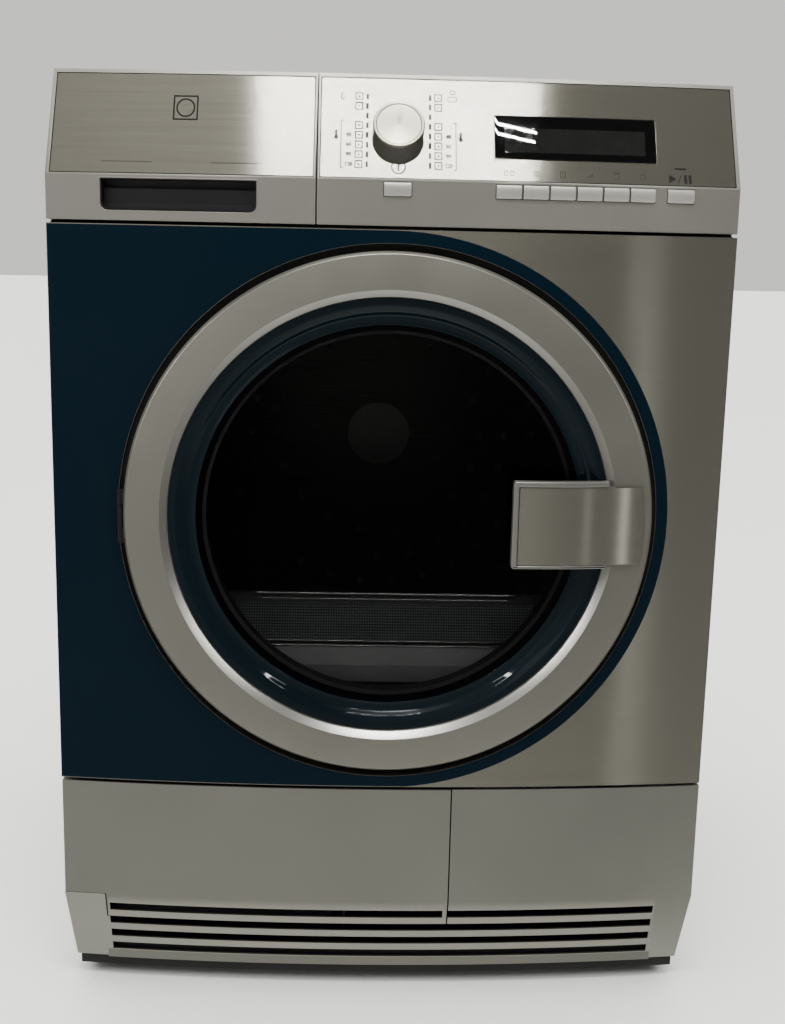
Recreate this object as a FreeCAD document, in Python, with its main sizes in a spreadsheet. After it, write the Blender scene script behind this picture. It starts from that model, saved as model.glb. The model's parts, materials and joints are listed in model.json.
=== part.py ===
import FreeCAD, Part
import math
import os
import Sketcher

# Front-loading condenser tumble dryer, built as the separate pieces it comes apart into.
# X runs to the right, Y from front to back, Z up; the origin is on the floor, under the
# middle of the machine. The front is bowed in plan, and its control panel leans back.

Vector = FreeCAD.Vector
doc = FreeCAD.newDocument("tumble_dryer")

# ---------------------------------------------------------------- driving dimensions

DRIVING = {
    # cabinet
    "width": 596, "top_height": 850, "front_y": -276, "body_depth": 590, "bow": 17,
    "steel": 1.0, "plastic": 3.0, "gap": 1.2,
    # front panel and plinth
    "panel_low": 215.9, "panel_high": 717.9, "panel_fold": 14,
    "plinth_high": 213.2, "plinth_kink": 101.3, "plinth_low": 22.8, "plinth_undercut": 27,
    "plinth_taper": 5, "flap_right": 62.8, "flap_step": -259, "slot_pitch": 16.5,
    "slot_opening": 8.7, "slot_first": 90.2, "slot_left": -257, "slot_right": 262,
    # control panel
    "strip_low": 720.9, "kink": 758.5, "fascia_high": 850, "fascia_lean": 0.4977,
    "panel_set_back": 1, "end_wall": 16, "drawer_right": -67.8, "rim": 3.2, "button_low": 745.4,
    "button_high": 757, "button_pitch": 23.15, "button_width": 22,
    "knob_x": 1.3, "knob_z": 791.3, "knob_radius": 21.7, "knob_tall": 28,
    # door
    "door_z": 466.5, "door_radius": 233.75, "hole_radius": 240, "window_radius": 171,
    "ring_inner": 194.6, "mouth_radius": 176, "handle_low": 426.5, "handle_high": 506.5,
    "hinge_x": -236.6, "hinge_ahead": 16.5, "hinge_barrel": 2.4,
    # drum and drive
    "drum_z": 470, "drum_radius": 276, "drum_front": 78, "drum_rear": 548, "rear_sheet": 572,
    "motor_x": 165, "motor_z": 128, "pulley_radius": 6.5, "belt_from": 104, "belt_width": 12,
    "roller_radius": 30, "roller_angle": 35, "pin_clearance": 0.05,
    # feet
    "foot_x": 255, "foot_front": 75, "foot_rear": 520, "foot_radius": 20, "tray_low": 12,
    # water and power connections at the rear
    "spigot_x": -212, "spigot_z": 70, "inlet_x": 250, "inlet_z": 780,
}

sheet = doc.addObject("Spreadsheet::Sheet", "dims")
for row, (alias, number) in enumerate(DRIVING.items(), start=1):
    sheet.set(f"A{row}", alias)
    sheet.set(f"B{row}", str(number))
    sheet.setAlias(f"B{row}", alias)
doc.recompute()


class Size:
    """A length that carries both its number and the spreadsheet formula that gives it."""

    def __init__(self, value, formula):
        self.value = value
        self.formula = formula

    def __add__(self, other):
        other = sized(other)
        return Size(self.value + other.value, f"({self.formula} + {other.formula})")

    def __sub__(self, other):
        other = sized(other)
        return Size(self.value - other.value, f"({self.formula} - {other.formula})")

    def __mul__(self, other):
        other = sized(other)
        return Size(self.value * other.value, f"({self.formula} * {other.formula})")

    def __truediv__(self, other):
        other = sized(other)
        return Size(self.value / other.value, f"({self.formula} / {other.formula})")

    def __neg__(self):
        return sized(0) - self

    def __radd__(self, other):
        return sized(other) + self

    def __rsub__(self, other):
        return sized(other) - self

    def __rmul__(self, other):
        return sized(other) * self


def sized(thing):
    """A plain number becomes a Size; a Size stays what it is."""
    if isinstance(thing, Size):
        return thing
    return Size(float(thing), f"({float(thing):.6f})")


def root(size):
    return Size(math.sqrt(size.value), f"sqrt({size.formula})")


class Dimensions:
    """The driving dimensions, read as attributes: d.width and so on."""

    def __init__(self, table):
        for alias, number in table.items():
            setattr(self, alias, Size(float(number), f"dims.{alias}"))


d = Dimensions(DRIVING)
half = d.width / 2
bow_radius = (half * half + d.bow * d.bow) / (2 * d.bow)


def at(depth):
    """A place in Y, given as the distance behind the front panel's side edges."""
    return d.front_y + depth


def front_at(x):
    """The bowed front surface's Y at a given x."""
    return at(bow_radius - d.bow) - root(bow_radius * bow_radius - sized(x) * x)


# ---------------------------------------------------------------- building blocks

AXES = {"x": Vector(1, 0, 0), "y": Vector(0, 1, 0), "z": Vector(0, 0, 1)}
CYLINDER_TURN = {
    "x": FreeCAD.Rotation(Vector(0, 1, 0), 90),
    "y": FreeCAD.Rotation(Vector(1, 0, 0), -90),
    "z": FreeCAD.Rotation(),
}
OUTLINE_TURN = {
    "x": FreeCAD.Rotation(Vector(1, 1, 1), 120),
    "y": FreeCAD.Rotation(Vector(1, 0, 0), 90),
    "z": FreeCAD.Rotation(),
}
nodes = {}


def bind(thing, prop, size):
    thing.setExpression(prop, sized(size).formula)


def place(thing, x=0, y=0, z=0, turn=None):
    """Give an object its Placement, with the position bound to the sheet."""
    thing.Placement = FreeCAD.Placement(Vector(), turn or FreeCAD.Rotation())
    for axis, size in zip("xyz", (x, y, z)):
        bind(thing, f"Placement.Base.{axis}", size)
    return thing


def box(name, x, y, z):
    """A block; x, y and z are (low, high) pairs."""
    block = doc.addObject("Part::Box", name)
    for prop, (low, high) in zip(("Length", "Width", "Height"), (x, y, z)):
        bind(block, prop, sized(high) - low)
    return place(block, x[0], y[0], z[0])


def cylinder(name, axis, start, radius, length):
    """A round bar that starts at a point and runs along an axis."""
    bar = doc.addObject("Part::Cylinder", name)
    bind(bar, "Radius", radius)
    bind(bar, "Height", length)
    return place(bar, *start, turn=CYLINDER_TURN[axis])


def fuse(name, *parts):
    whole = doc.addObject("Part::MultiFuse", name)
    whole.Shapes = list(parts)
    whole.Refine = True
    return whole


def common(name, *parts):
    shared = doc.addObject("Part::MultiCommon", name)
    shared.Shapes = list(parts)
    shared.Refine = True
    return shared


def cut(name, base, *tools):
    rest = doc.addObject("Part::Cut", name)
    rest.Base = base
    rest.Tool = tools[0] if len(tools) == 1 else fuse(f"{name}_tools", *tools)
    rest.Refine = True
    return rest


def tube(name, axis, start, outer, inner, length):
    bar = cylinder(f"{name}_outer", axis, start, outer, length)
    bore = cylinder(f"{name}_bore", axis, start, inner, length)
    return cut(name, bar, bore)


def draw_outline(sketch, outline):
    """Closed polygon in a sketch, every corner held by two bound distances."""
    corners = [(sized(u), sized(v)) for u, v in outline]
    count = len(corners)
    for index, (u, v) in enumerate(corners):
        next_u, next_v = corners[(index + 1) % count]
        start = Vector(u.value, v.value, 0)
        end = Vector(next_u.value, next_v.value, 0)
        sketch.addGeometry(Part.LineSegment(start, end), False)
    for index in range(count):
        sketch.addConstraint(Sketcher.Constraint("Coincident", index, 2, (index + 1) % count, 1))
    for index, pair in enumerate(corners):
        for kind, size in zip(("DistanceX", "DistanceY"), pair):
            number = sketch.addConstraint(Sketcher.Constraint(kind, -1, 1, index, 1, size.value))
            label = f"corner_{index}_{kind[-1].lower()}"
            sketch.renameConstraint(number, label)
            bind(sketch, f"Constraints.{label}", size)


def prism(name, axis, outline, low, high):
    """An outline pushed along an axis. Its pairs are (y, z), (x, z) or (x, y)."""
    sketch = doc.addObject("Sketcher::SketchObject", f"{name}_outline")
    draw_outline(sketch, outline)
    place(sketch, turn=OUTLINE_TURN[axis])
    bind(sketch, f"Placement.Base.{axis}", low)
    solid = doc.addObject("Part::Extrusion", name)
    solid.Base = sketch
    solid.DirMode = "Custom"
    solid.Dir = AXES[axis]
    solid.Solid = True
    bind(solid, "LengthFwd", sized(high) - low)
    return solid


def turned(name, axis, outline, x=0, y=0, z=0, turn=None):
    """A body of revolution about its own Y or Z axis; the outline is (radius, along)."""
    body = doc.addObject("PartDesign::Body", name)
    role = {"y": "XY_Plane", "z": "XZ_Plane"}[axis]
    plane = next(item for item in body.Origin.OriginFeatures if item.Role == role)
    sketch = body.newObject("Sketcher::SketchObject", f"{name}_section")
    sketch.AttachmentSupport = [(plane, "")]
    sketch.MapMode = "FlatFace"
    draw_outline(sketch, outline)
    spin = body.newObject("PartDesign::Revolution", f"{name}_revolution")
    spin.Profile = sketch
    spin.ReferenceAxis = (sketch, ["V_Axis"])
    spin.Angle = 360
    return place(body, x, y, z, turn)


def bowed(name, x, offsets, z, lean=0, shift=0):
    """A slab that follows the bowed front between two offsets from it (out is positive).

    It stands from z[0] to z[1]; lean is how far it goes back for each unit up, and shift
    how far back it starts.
    """
    sketch = doc.addObject("Sketcher::SketchObject", f"{name}_plan")
    centre = bow_radius - d.bow + d.front_y + shift
    radii = [bow_radius + offset for offset in offsets]
    middle = Vector(0, centre.value, 0)
    left, right = sized(x[0]), sized(x[1])
    ends = []
    for radius in radii:
        angles = [1.5 * math.pi + math.asin(side.value / radius.value) for side in (left, right)]
        arc = Part.ArcOfCircle(Part.Circle(middle, Vector(0, 0, 1), radius.value), *angles)
        sketch.addGeometry(arc, False)
        ends.append([middle + Vector(math.cos(a), math.sin(a), 0) * radius.value for a in angles])
    for side in (0, 1):
        sketch.addGeometry(Part.LineSegment(ends[0][side], ends[1][side]), False)
    for line, corner in ((2, 1), (3, 2)):
        sketch.addConstraint(Sketcher.Constraint("Coincident", line, 1, 0, corner))
        sketch.addConstraint(Sketcher.Constraint("Coincident", line, 2, 1, corner))
        sketch.addConstraint(Sketcher.Constraint("Vertical", line))
    sketch.addConstraint(Sketcher.Constraint("Coincident", 0, 3, 1, 3))
    sketch.addConstraint(Sketcher.Constraint("PointOnObject", 0, 3, -2))
    sizes = [
        ("centre", ("DistanceY", -1, 1, 0, 3), centre),
        ("outer", ("Radius", 0), radii[0]),
        ("inner", ("Radius", 1), radii[1]),
        ("left", ("DistanceX", -1, 1, 2, 1), left),
        ("right", ("DistanceX", -1, 1, 3, 1), right),
    ]
    for label, arguments, size in sizes:
        number = sketch.addConstraint(Sketcher.Constraint(*arguments, size.value))
        sketch.renameConstraint(number, label)
        bind(sketch, f"Constraints.{label}", size)
    bind(sketch, "Placement.Base.z", z[0])
    slab = doc.addObject("Part::Extrusion", name)
    slab.Base = sketch
    slab.DirMode = "Custom"
    slab.Dir = Vector(0, 0, 1)
    bind(slab, "Dir.y", lean)
    slab.Solid = True
    lean = sized(lean)
    bind(slab, "LengthFwd", (sized(z[1]) - z[0]) * root(lean * lean + 1))
    return slab


def keep(name, piece):
    """Register a finished sub-part under its own name."""
    piece.Label = name
    nodes[name] = piece
    return piece


# ---------------------------------------------------------------- cabinet

def base_tray():
    wide = half - 8
    floor = bowed("tray_floor", (-wide, wide), (-30, -90), (d.tray_low, d.tray_low + 3))
    deck = box("tray_deck", (-wide, wide), (at(60), at(568)), (d.tray_low, d.tray_low + 3))
    lip = bowed("tray_lip", (-wide, wide), (-30, -33), (d.tray_low, 40))
    height = (d.tray_low, 96)
    walls = [
        box("tray_left", (-wide, 3 - wide), (at(44), at(568)), height),
        box("tray_right", (wide - 3, wide), (at(44), at(568)), height),
        box("tray_rear", (-wide, wide), (at(565), at(568)), height),
        box("tray_divider", (-36, -33), (at(44), at(568)), (d.tray_low, 150)),
        box("tray_duct_side", (-272, -269), (at(60), at(450)), (d.tray_low, 186)),
        box("tray_left_rail", (-258, -248), (at(66), at(440)), (d.tray_low, 50)),
        box("tray_right_rail", (-60, -50), (at(66), at(440)), (d.tray_low, 50)),
    ]
    bosses = []
    bores = []
    for index, (x, depth) in enumerate(foot_places()):
        spot = (x, at(depth), d.tray_low)
        bosses.append(cylinder(f"tray_boss_{index}", "z", spot, 13, 36))
        bores.append(cylinder(f"tray_bore_{index}", "z", spot, 5 + d.pin_clearance, 40))
    motor_seats = [
        box(f"tray_seat_{index}", (d.motor_x - 45, d.motor_x + 45), (at(y), at(y + 14)),
            (d.tray_low, d.motor_z - 75))
        for index, y in enumerate((206, 300))
    ]
    bores.append(box("tray_fan_window", (69, 226), (at(550), at(580)), (59, 100)))
    bores.append(cylinder("tray_spigot_hole", "y", (d.spigot_x, at(550), d.spigot_z), 9.5, 30))
    whole = fuse("base_tray_whole", floor, deck, lip, *walls, *bosses, *motor_seats)
    return cut("base_tray", whole, *bores)


def foot_places():
    return [(side * d.foot_x, depth) for depth in (d.foot_front, d.foot_rear) for side in (-1, 1)]


def foot(index):
    x, depth = foot_places()[index]
    outline = [(0, 0), (d.foot_radius, 0), (d.foot_radius, 4), (d.foot_radius - 5, 8),
               (5, 8), (5, 44), (0, 44)]
    return turned(("foot_front_left", "foot_front_right", "foot_rear_left", "foot_rear_right")[index],
                  "z", outline, x, at(depth), 0)


def side_panel(name, side):
    """Steel side, cut to the plinth's undercut and the control panel's lean."""
    edge = d.panel_fold + 0.6
    behind_ends = d.end_wall + d.panel_set_back + 0.6
    top = 831
    outline = [
        (at(d.plinth_undercut + d.panel_fold), 24), (at(edge), d.plinth_kink), (at(edge), 719.3),
        (at(behind_ends), 719.3), (at(behind_ends), d.kink),
        (at(behind_ends + (top - d.kink) * d.fascia_lean), top),
        (at(d.rear_sheet), top), (at(d.rear_sheet), 24)]

    def across(depth_in):
        inner = half - depth_in
        return (-half, -inner) if side < 0 else (inner, half)

    skin = prism(f"{name}_skin", "x", outline, *across(d.steel))
    rear = d.rear_sheet - d.steel
    folds = [
        box(f"{name}_front_fold", across(12), (at(edge), at(edge + d.steel)), (104, 716)),
        box(f"{name}_rear_fold", across(12), (at(rear), at(d.rear_sheet)), (24, top)),
        box(f"{name}_top_fold", across(12), (at(100), at(d.rear_sheet)), (top - d.steel, top)),
    ]
    return fuse(name, skin, *folds)


def worktop():
    z = (832, d.top_height)
    front = bowed("worktop_front", (-half, half), (-50.4, -110), z)
    board = box("worktop_board", (-half, half), (at(80), at(d.rear_sheet + 8)), z)
    whole = fuse("worktop_whole", front, board)
    doc.recompute()
    edges = [
        (number, 2.5, 2.5) for number, edge in enumerate(whole.Shape.Edges, start=1)
        if edge.BoundBox.ZMin > d.top_height.value - 0.1
    ]
    rounded = doc.addObject("Part::Fillet", "worktop")
    rounded.Base = whole
    rounded.Edges = edges
    return rounded


def rear_panel():
    wide = half - d.steel - 0.5
    y = (at(d.rear_sheet), at(d.rear_sheet + d.steel))
    sheet_metal = box("rear_sheet", (-wide, wide), y, (24, 831))
    centre = (0, at(d.rear_sheet - 5), d.drum_z)
    hole = cylinder("rear_bearing_hole", "y", centre, 25, 20)
    vents = []
    for step in range(6):
        for row in range(3):
            x = -150 + 22 * step
            z = 60 + 24 * row
            vents.append(box(f"rear_vent_{step}_{row}", (x, x + 14), (y[0] - 2, y[1] + 2), (z, z + 10)))
    air_holes = []
    for step in range(10):
        angle = math.radians(36 * step)
        spot = (165 * math.cos(angle), at(d.rear_sheet - 5), d.drum_z + 165 * math.sin(angle))
        air_holes.append(cylinder(f"rear_air_{step}", "y", spot, 28, 20))
    outlet = cylinder("rear_outlet", "y", (d.spigot_x, at(d.rear_sheet - 5), d.spigot_z), 9.5, 20)
    inlet = cylinder("rear_inlet", "y", (d.inlet_x, at(d.rear_sheet - 5), d.inlet_z), 6, 20)
    duct = box("rear_fan_outlet", (73, 222), (at(d.rear_sheet - 5), at(d.rear_sheet + 5)), (63, 177))
    return cut("rear_panel", sheet_metal, hole, outlet, inlet, duct, *vents, *air_holes)


def rear_duct_cover():
    """Round pressed cover over the drum's air inlet, with the duct that rises to it."""
    start = d.rear_sheet + d.steel
    deep = d.body_depth - start
    outer = [
        cylinder("cover_dish", "y", (0, at(start), d.drum_z), 222, deep),
        box("cover_duct", (60, 235), (at(start), at(start) + deep), (56, 420)),
    ]
    inner = [
        cylinder("cover_dish_room", "y", (0, at(start), d.drum_z), 220.6, deep - 1.4),
        box("cover_duct_room", (61.4, 233.6), (at(start), at(start) + deep - 1.4), (57.4, 420)),
    ]
    flange = [
        cylinder("cover_flange", "y", (0, at(start), d.drum_z), 232, 1.4),
        box("cover_duct_flange", (50, 245), (at(start), at(start) + 1.4), (46, 420)),
    ]
    return cut("rear_duct_cover", fuse("cover_shell", *outer, *flange), *inner)


# ---------------------------------------------------------------- front panel and plinth

def door_disc(name, radius, depth_from, depth_to):
    return cylinder(name, "y", (0, at(depth_from), d.door_z), radius, sized(depth_to) - depth_from)


flap_axis = (sized(-291.5), at(7))
flap_pin = 2


def front_panel():
    z = (d.panel_low, d.panel_high)
    skin = bowed("panel_skin", (-half, half), (0, -d.steel), z)
    hole = door_disc("panel_hole", d.hole_radius, -60, 60)
    collar_start = (0, at(-30), d.door_z)
    collar_bar = tube("panel_collar_bar", "y", collar_start, d.hole_radius + 1.2, d.hole_radius, 32)
    in_front = bowed("panel_in_front", (-half, half), (40, 0), z)
    collar = cut("panel_collar", collar_bar, in_front)
    fold = (at(0.2), at(d.panel_fold))
    folds = [
        box("panel_left_fold", (-half, d.steel - half), fold, z),
        box("panel_right_fold", (half - d.steel, half), fold, z),
        bowed("panel_top_fold", (-half, half), (0, -14), (d.panel_high - 1, d.panel_high)),
        bowed("panel_low_fold", (-half, half), (0, -14), (d.panel_low, d.panel_low + 2)),
    ]
    pin_start = (*flap_axis, d.panel_low - 1)
    pin_hole = cylinder("panel_pin_hole", "z", pin_start, flap_pin + d.pin_clearance, 5)
    pierced = cut("panel_pierced", skin, hole)
    return cut("front_panel", fuse("panel_whole", pierced, collar, *folds), pin_hole)


def front_panel_film():
    """Thin dark film: the left half of the front, and a round margin about the door."""
    z = (d.panel_low + 0.8, d.panel_high - 0.8)
    film = bowed("film_sheet", (0.6 - half, half), (0.35, 0), z)
    left = box("film_left", (-half - 1, 0), (at(-40), at(20)), z)
    disc = door_disc("film_disc", 250.6, -40, 20)
    area = fuse("film_area", left, disc)
    hole = door_disc("film_hole", d.hole_radius + 0.3, -50, 30)
    return cut("front_panel_film", common("film_blank", film, area), hole)


def front_bulkhead():
    """Moulding behind the front panel: door recess, loading mouth and filter shaft."""
    face = box("bulkhead_face", (-half + 14, half - 14), (at(2), at(5)), (220, 713))
    mouth_tube = door_disc("bulkhead_tube", d.mouth_radius + d.plastic, 2, 76)
    shaft = box("bulkhead_shaft", (-110, 110), (at(19), at(65)), (236, 320))
    ribs = []
    roller_pads = []
    axle_holes = []
    for side in (-1, 1):
        x, z = roller_place(side)
        name = f"bulkhead_{side + 1}"
        middle = side * 230
        roller_pads.append(box(f"{name}_pad", (x - 16, x + 16), (at(2), at(64)), (z - 14, z + 14)))
        axle_holes.append(cylinder(f"{name}_axle", "y", (x, at(30), z), 6 + d.pin_clearance, 40))
        ribs.append(box(f"{name}_rib", (middle - 2, middle + 2), (at(2), at(30)), (250, 700)))
    whole = fuse("bulkhead_whole", face, mouth_tube, shaft, *ribs, *roller_pads)
    mouth = door_disc("bulkhead_mouth", d.mouth_radius, -10, 90)
    shaft_room = box("bulkhead_shaft_room", (-107, 107), (at(22), at(62)), (239, 330))
    lock_z = (d.door_z - 11, d.door_z + 11)
    latch_slot = box("bulkhead_latch_slot", (206, 223), (at(-2), at(8)), lock_z)
    window_z = (d.door_z - 40, d.door_z + 40)
    rib_window = box("bulkhead_rib_window", (200, 240), (at(5), at(40)), window_z)
    fold_room = box("bulkhead_fold_room", (-half, half), (at(-5), at(16)), (200, 219))
    rooms = (mouth, shaft_room, latch_slot, rib_window, fold_room)
    return cut("front_bulkhead", whole, *rooms, *axle_holes)


def plinth_lean():
    return -d.plinth_undercut / (d.plinth_kink - d.plinth_low)


def plinth_slab(name, x, z):
    """Undercut lower slab of the plinth, over an x range and between two heights."""
    lean = plinth_lean()
    shift = (sized(z[0]) - d.plinth_kink) * lean
    return bowed(name, x, (0, -2.6), z, lean, shift)


def plinth_slots(name, x, first, count):
    tools = []
    for step in range(first, first + count):
        high = d.slot_first - step * d.slot_pitch
        tools.append(box(f"{name}_slot_{step}", x, (at(-40), at(50)), (high - d.slot_opening, high)))
    return tools


def plinth_grille():
    z = (d.plinth_kink, d.plinth_high)
    upper = bowed("plinth_upper", (d.flap_right + d.gap, half), (0, -2.6), z)
    lower = plinth_slab("plinth_lower", (-half, half), (d.plinth_low, d.plinth_kink))
    flap_x = (d.flap_step - d.gap / 2, d.flap_right + d.gap)
    flap_room = box("plinth_flap_room", flap_x, (at(-40), at(40)),
                    (d.slot_first - d.slot_pitch - 0.5, 120))
    left_gap = box("plinth_left_gap", (-half - 1, 0), (at(-40), at(40)), (d.plinth_kink - 0.5, 120))
    slots = plinth_slots("plinth", (d.slot_left, d.slot_right), 1, 3)
    slots += plinth_slots("plinth_right", (d.flap_right, d.slot_right), 0, 1)
    slabs = fuse("plinth_slabs", upper, lower)
    sheet_part = cut("plinth_sheet", slabs, flap_room, left_gap, *slots, *plinth_tapers("plinth"))
    shelf = box("plinth_shelf", (8 - half, -264), (at(3), at(14)), (96, 99))
    shelf_hole = cylinder("plinth_shelf_hole", "z", (*flap_axis, 90), flap_pin + d.pin_clearance, 20)
    tie = bowed("plinth_tie", (-262, 266), (-24, -27), (d.plinth_low, 31))
    upper_cheek = box("plinth_upper_cheek", (half - 2.6, half), (at(0.5), at(d.panel_fold)), z)
    cheeks = [plinth_cheek(side) for side in (-1, 1)]
    trimmed = cut("plinth_trimmed_cheeks", fuse("plinth_cheeks", *cheeks), *plinth_tapers("cheek"))
    whole = fuse("plinth_whole", sheet_part, trimmed, shelf, tie, upper_cheek)
    return cut("plinth_grille", whole, shelf_hole)


def plinth_cheek(side):
    """End wall of the undercut, from its slab back to the side panel."""
    high = d.plinth_kink - 0.5
    outline = [
        (at(d.plinth_undercut + 0.5), d.plinth_low), (at(0.5), high),
        (at(d.panel_fold), high), (at(d.plinth_undercut + d.panel_fold - 0.6), d.plinth_low)]
    x = (-half, 7 - half) if side < 0 else (half - 7, half)
    return prism(f"plinth_cheek_{side + 1}", "x", outline, *x)


def plinth_tapers(name):
    """Wedges that narrow the undercut towards the floor at both sides."""
    wedges = []
    for side in (-1, 1):
        outer = side * (half + 5)
        low = side * (half - d.plinth_taper)
        outline = [
            (outer, d.plinth_kink), (side * half, d.plinth_kink), (low, d.plinth_low), (low, 0),
            (outer, 0)]
        wedges.append(prism(f"{name}_taper_{side + 1}", "y", outline, at(-40), at(60)))
    return wedges


def plinth_flap():
    left = 0.6 - half
    low, high = d.plinth_kink, d.plinth_high - 0.4
    behind = (at(1.5), at(10))
    face = bowed("flap_face", (left, d.flap_right), (0, -2.6), (low, high))
    lower = plinth_slab("flap_lower", (d.flap_step + d.gap / 2, d.flap_right),
                        (d.slot_first - d.slot_pitch, low))
    slot = plinth_slots("flap", (d.slot_left + 1, d.flap_right - 4), 0, 1)
    fold = box("flap_fold", (left, left + 2.6), behind, (low, high))
    knuckle_top = box("flap_knuckle_top", (left, -286), behind, (high - 5.6, high))
    knuckle_low = box("flap_knuckle_low", (left, -286), behind, (low, low + 5))
    top_pin = cylinder("flap_top_pin", "z", (*flap_axis, high - 1.6), flap_pin, 6)
    low_pin = cylinder("flap_low_pin", "z", (*flap_axis, low - 4.9), flap_pin, 8)
    stiffener = bowed("flap_stiffener", (-280, d.flap_right - 6), (-2.6, -12), (high - 7.6, high - 5.6))
    catch = box("flap_catch", (40, 52), (at(-14), at(2)), (150, 158))
    hinge = (knuckle_top, knuckle_low, top_pin, low_pin)
    return cut("plinth_flap", fuse("flap_whole", face, lower, fold, stiffener, catch, *hinge), *slot)


# ---------------------------------------------------------------- control panel

def leaning(name, x, offsets, z):
    """A slab parallel to the leaning fascia; offsets count from the bowed front."""
    shift = (sized(z[0]) - d.kink) * d.fascia_lean
    return bowed(name, x, offsets, z, d.fascia_lean, shift)


def panel_shell(name, x):
    """Upright strip, leaning fascia, top edge and both end walls, recessed for the plate."""
    outer = -d.panel_set_back
    inner = outer - d.plastic
    high = d.fascia_high
    pieces = [
        bowed(f"{name}_strip", x, (outer, inner), (d.strip_low, d.kink)),
        leaning(f"{name}_fascia", x, (outer, inner), (d.kink, high)),
        leaning(f"{name}_top", x, (outer, -12), (high - 2.6, high)),
    ]
    for index, (start, stop, rear) in enumerate(end_walls(x)):
        x_range = (start, stop)
        pieces.append(bowed(f"{name}_end_{index}", x_range, (outer, rear), (d.strip_low, d.kink)))
        pieces.append(leaning(f"{name}_leaning_end_{index}", x_range, (outer, rear), (d.kink, high)))
    room = bowed(f"{name}_worktop_room", (-half - 5, half + 5), (-49.6, -200), (831, high + 5))
    recess = leaning(f"{name}_recess", plate_span(x), (outer + 5, outer - 1.1), plate_heights())
    return cut(f"{name}_shell", fuse(f"{name}_shell_whole", *pieces), room, recess)


def end_walls(x):
    """Shallow walls flush with the cabinet's sides; deep ones at the seam and further in."""
    left, right = (sized(side) for side in x)
    walls = []
    for edge, inward in ((left, 1), (right, -1)):
        at_cabinet = abs(edge.value) > 200
        spans = [(0, 2.5, -d.end_wall)] if at_cabinet else [(0, 2.5, -56)]
        if at_cabinet:
            spans.append((3.4, 6, -56))
        for near, far, rear in spans:
            pair = (edge + near, edge + far) if inward > 0 else (edge - far, edge - near)
            walls.append((*pair, rear))
    return walls


def plate_span(x):
    """The fascia plate is inset by the rim at the cabinet's edge, by less at the seam."""
    left, right = (sized(side) for side in x)
    left_inset = d.rim if left.value < -200 else sized(1.6)
    right_inset = d.rim if right.value > 200 else sized(1.6)
    return (left + left_inset, right - right_inset)


def plate_heights():
    return (d.kink + 1.2, d.fascia_high - d.rim)


def fascia_plate(name, x):
    left, right = plate_span(x)
    low, high = plate_heights()
    outer = -d.panel_set_back - 0.3
    return leaning(name, (left + 0.3, right - 0.3), (outer, outer - 0.8), (low + 0.3, high - 0.3))


drawer_span = (-half, d.drawer_right)
control_span = (d.drawer_right + d.gap, half)


def button_spans():
    """Left and right edge of each button, by name."""
    spans = {"power_button": (sized(-10.2), sized(13.4))}
    for number in range(6):
        left = 85 + number * d.button_pitch
        spans[f"option_button_{number + 1}"] = (left, left + d.button_width)
    spans["start_button"] = (sized(233.2), sized(257))
    return spans


def button(name, span):
    """A key cap that follows the strip's bow, with the stem that reaches its switch."""
    left, right = span
    middle = (left + right) / 2
    cap = bowed(f"{name}_cap", span, (2.2, -6), (d.button_low, d.button_high))
    surface = front_at(middle) + d.panel_set_back
    stem = box(f"{name}_stem", (middle - 4, middle + 4), (surface + 4, surface + 8),
               (d.button_low + 2.5, d.button_high - 2.5))
    return fuse(name, cap, stem)


def on_fascia(x, z):
    """Y of the leaning fascia plate's surface at a given x and z."""
    return front_at(x) + d.panel_set_back + (z - d.kink) * d.fascia_lean


def knob_turn():
    """Turns Z onto the fascia's outward normal."""
    return FreeCAD.Rotation(Vector(1, 0, 0), 90 - math.degrees(math.atan(d.fascia_lean.value)))


def knob_piece(name, outline):
    spot = (d.knob_x, on_fascia(d.knob_x, d.knob_z), d.knob_z)
    return turned(name, "z", outline, *spot, turn=knob_turn())


def programme_knob():
    high = d.knob_tall - 2.6
    return knob_piece("programme_knob", [
        (0, -13), (3, -13), (3, 0.7), (d.knob_radius + 0.4, 0.7), (d.knob_radius + 0.2, 5),
        (d.knob_radius - 0.7, high), (0, high)])


def knob_cap():
    low = d.knob_tall - 2.6
    return knob_piece("knob_cap", [
        (0, low), (d.knob_radius - 0.7, low), (d.knob_radius, low + 0.7),
        (d.knob_radius, d.knob_tall - 0.8), (d.knob_radius - 0.8, d.knob_tall),
        (d.knob_radius - 2.4, d.knob_tall), (d.knob_radius - 3.2, d.knob_tall - 0.6),
        (0, d.knob_tall - 0.6)])


display_x = (sized(84), sized(224.6))
display_z = (sized(779.2), sized(816.4))


def control_housing():
    shell = panel_shell("control", control_span)
    holes = []
    for name, (left, right) in button_spans().items():
        holes.append(box(f"{name}_hole", (left - 0.4, right + 0.4), (at(-30), at(12)),
                         (d.button_low - 0.4, d.button_high + 0.4)))
    window = box("housing_window", (display_x[0] + 6, display_x[1] - 6), (at(-30), at(60)),
                 (display_z[0] + 4, display_z[1] - 4))
    shaft = knob_piece("housing_shaft_hole", [(0, -12), (4.5, -12), (4.5, 6), (0, 6)])
    return cut("control_housing", shell, window, shaft, *holes)


def control_fascia():
    plate = fascia_plate("fascia_blank", control_span)
    window = box("fascia_window", (display_x[0] - 0.3, display_x[1] + 0.3), (at(-30), at(60)),
                 (display_z[0] - 0.3, display_z[1] + 0.3))
    shaft = knob_piece("fascia_shaft_hole", [(0, -5), (4.5, -5), (4.5, 5), (0, 5)])
    return cut("control_fascia", plate, window, shaft)


def display_window():
    outer = -d.panel_set_back
    return leaning("display_window", display_x, (outer + 0.5, outer - 1.1), display_z)


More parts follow.
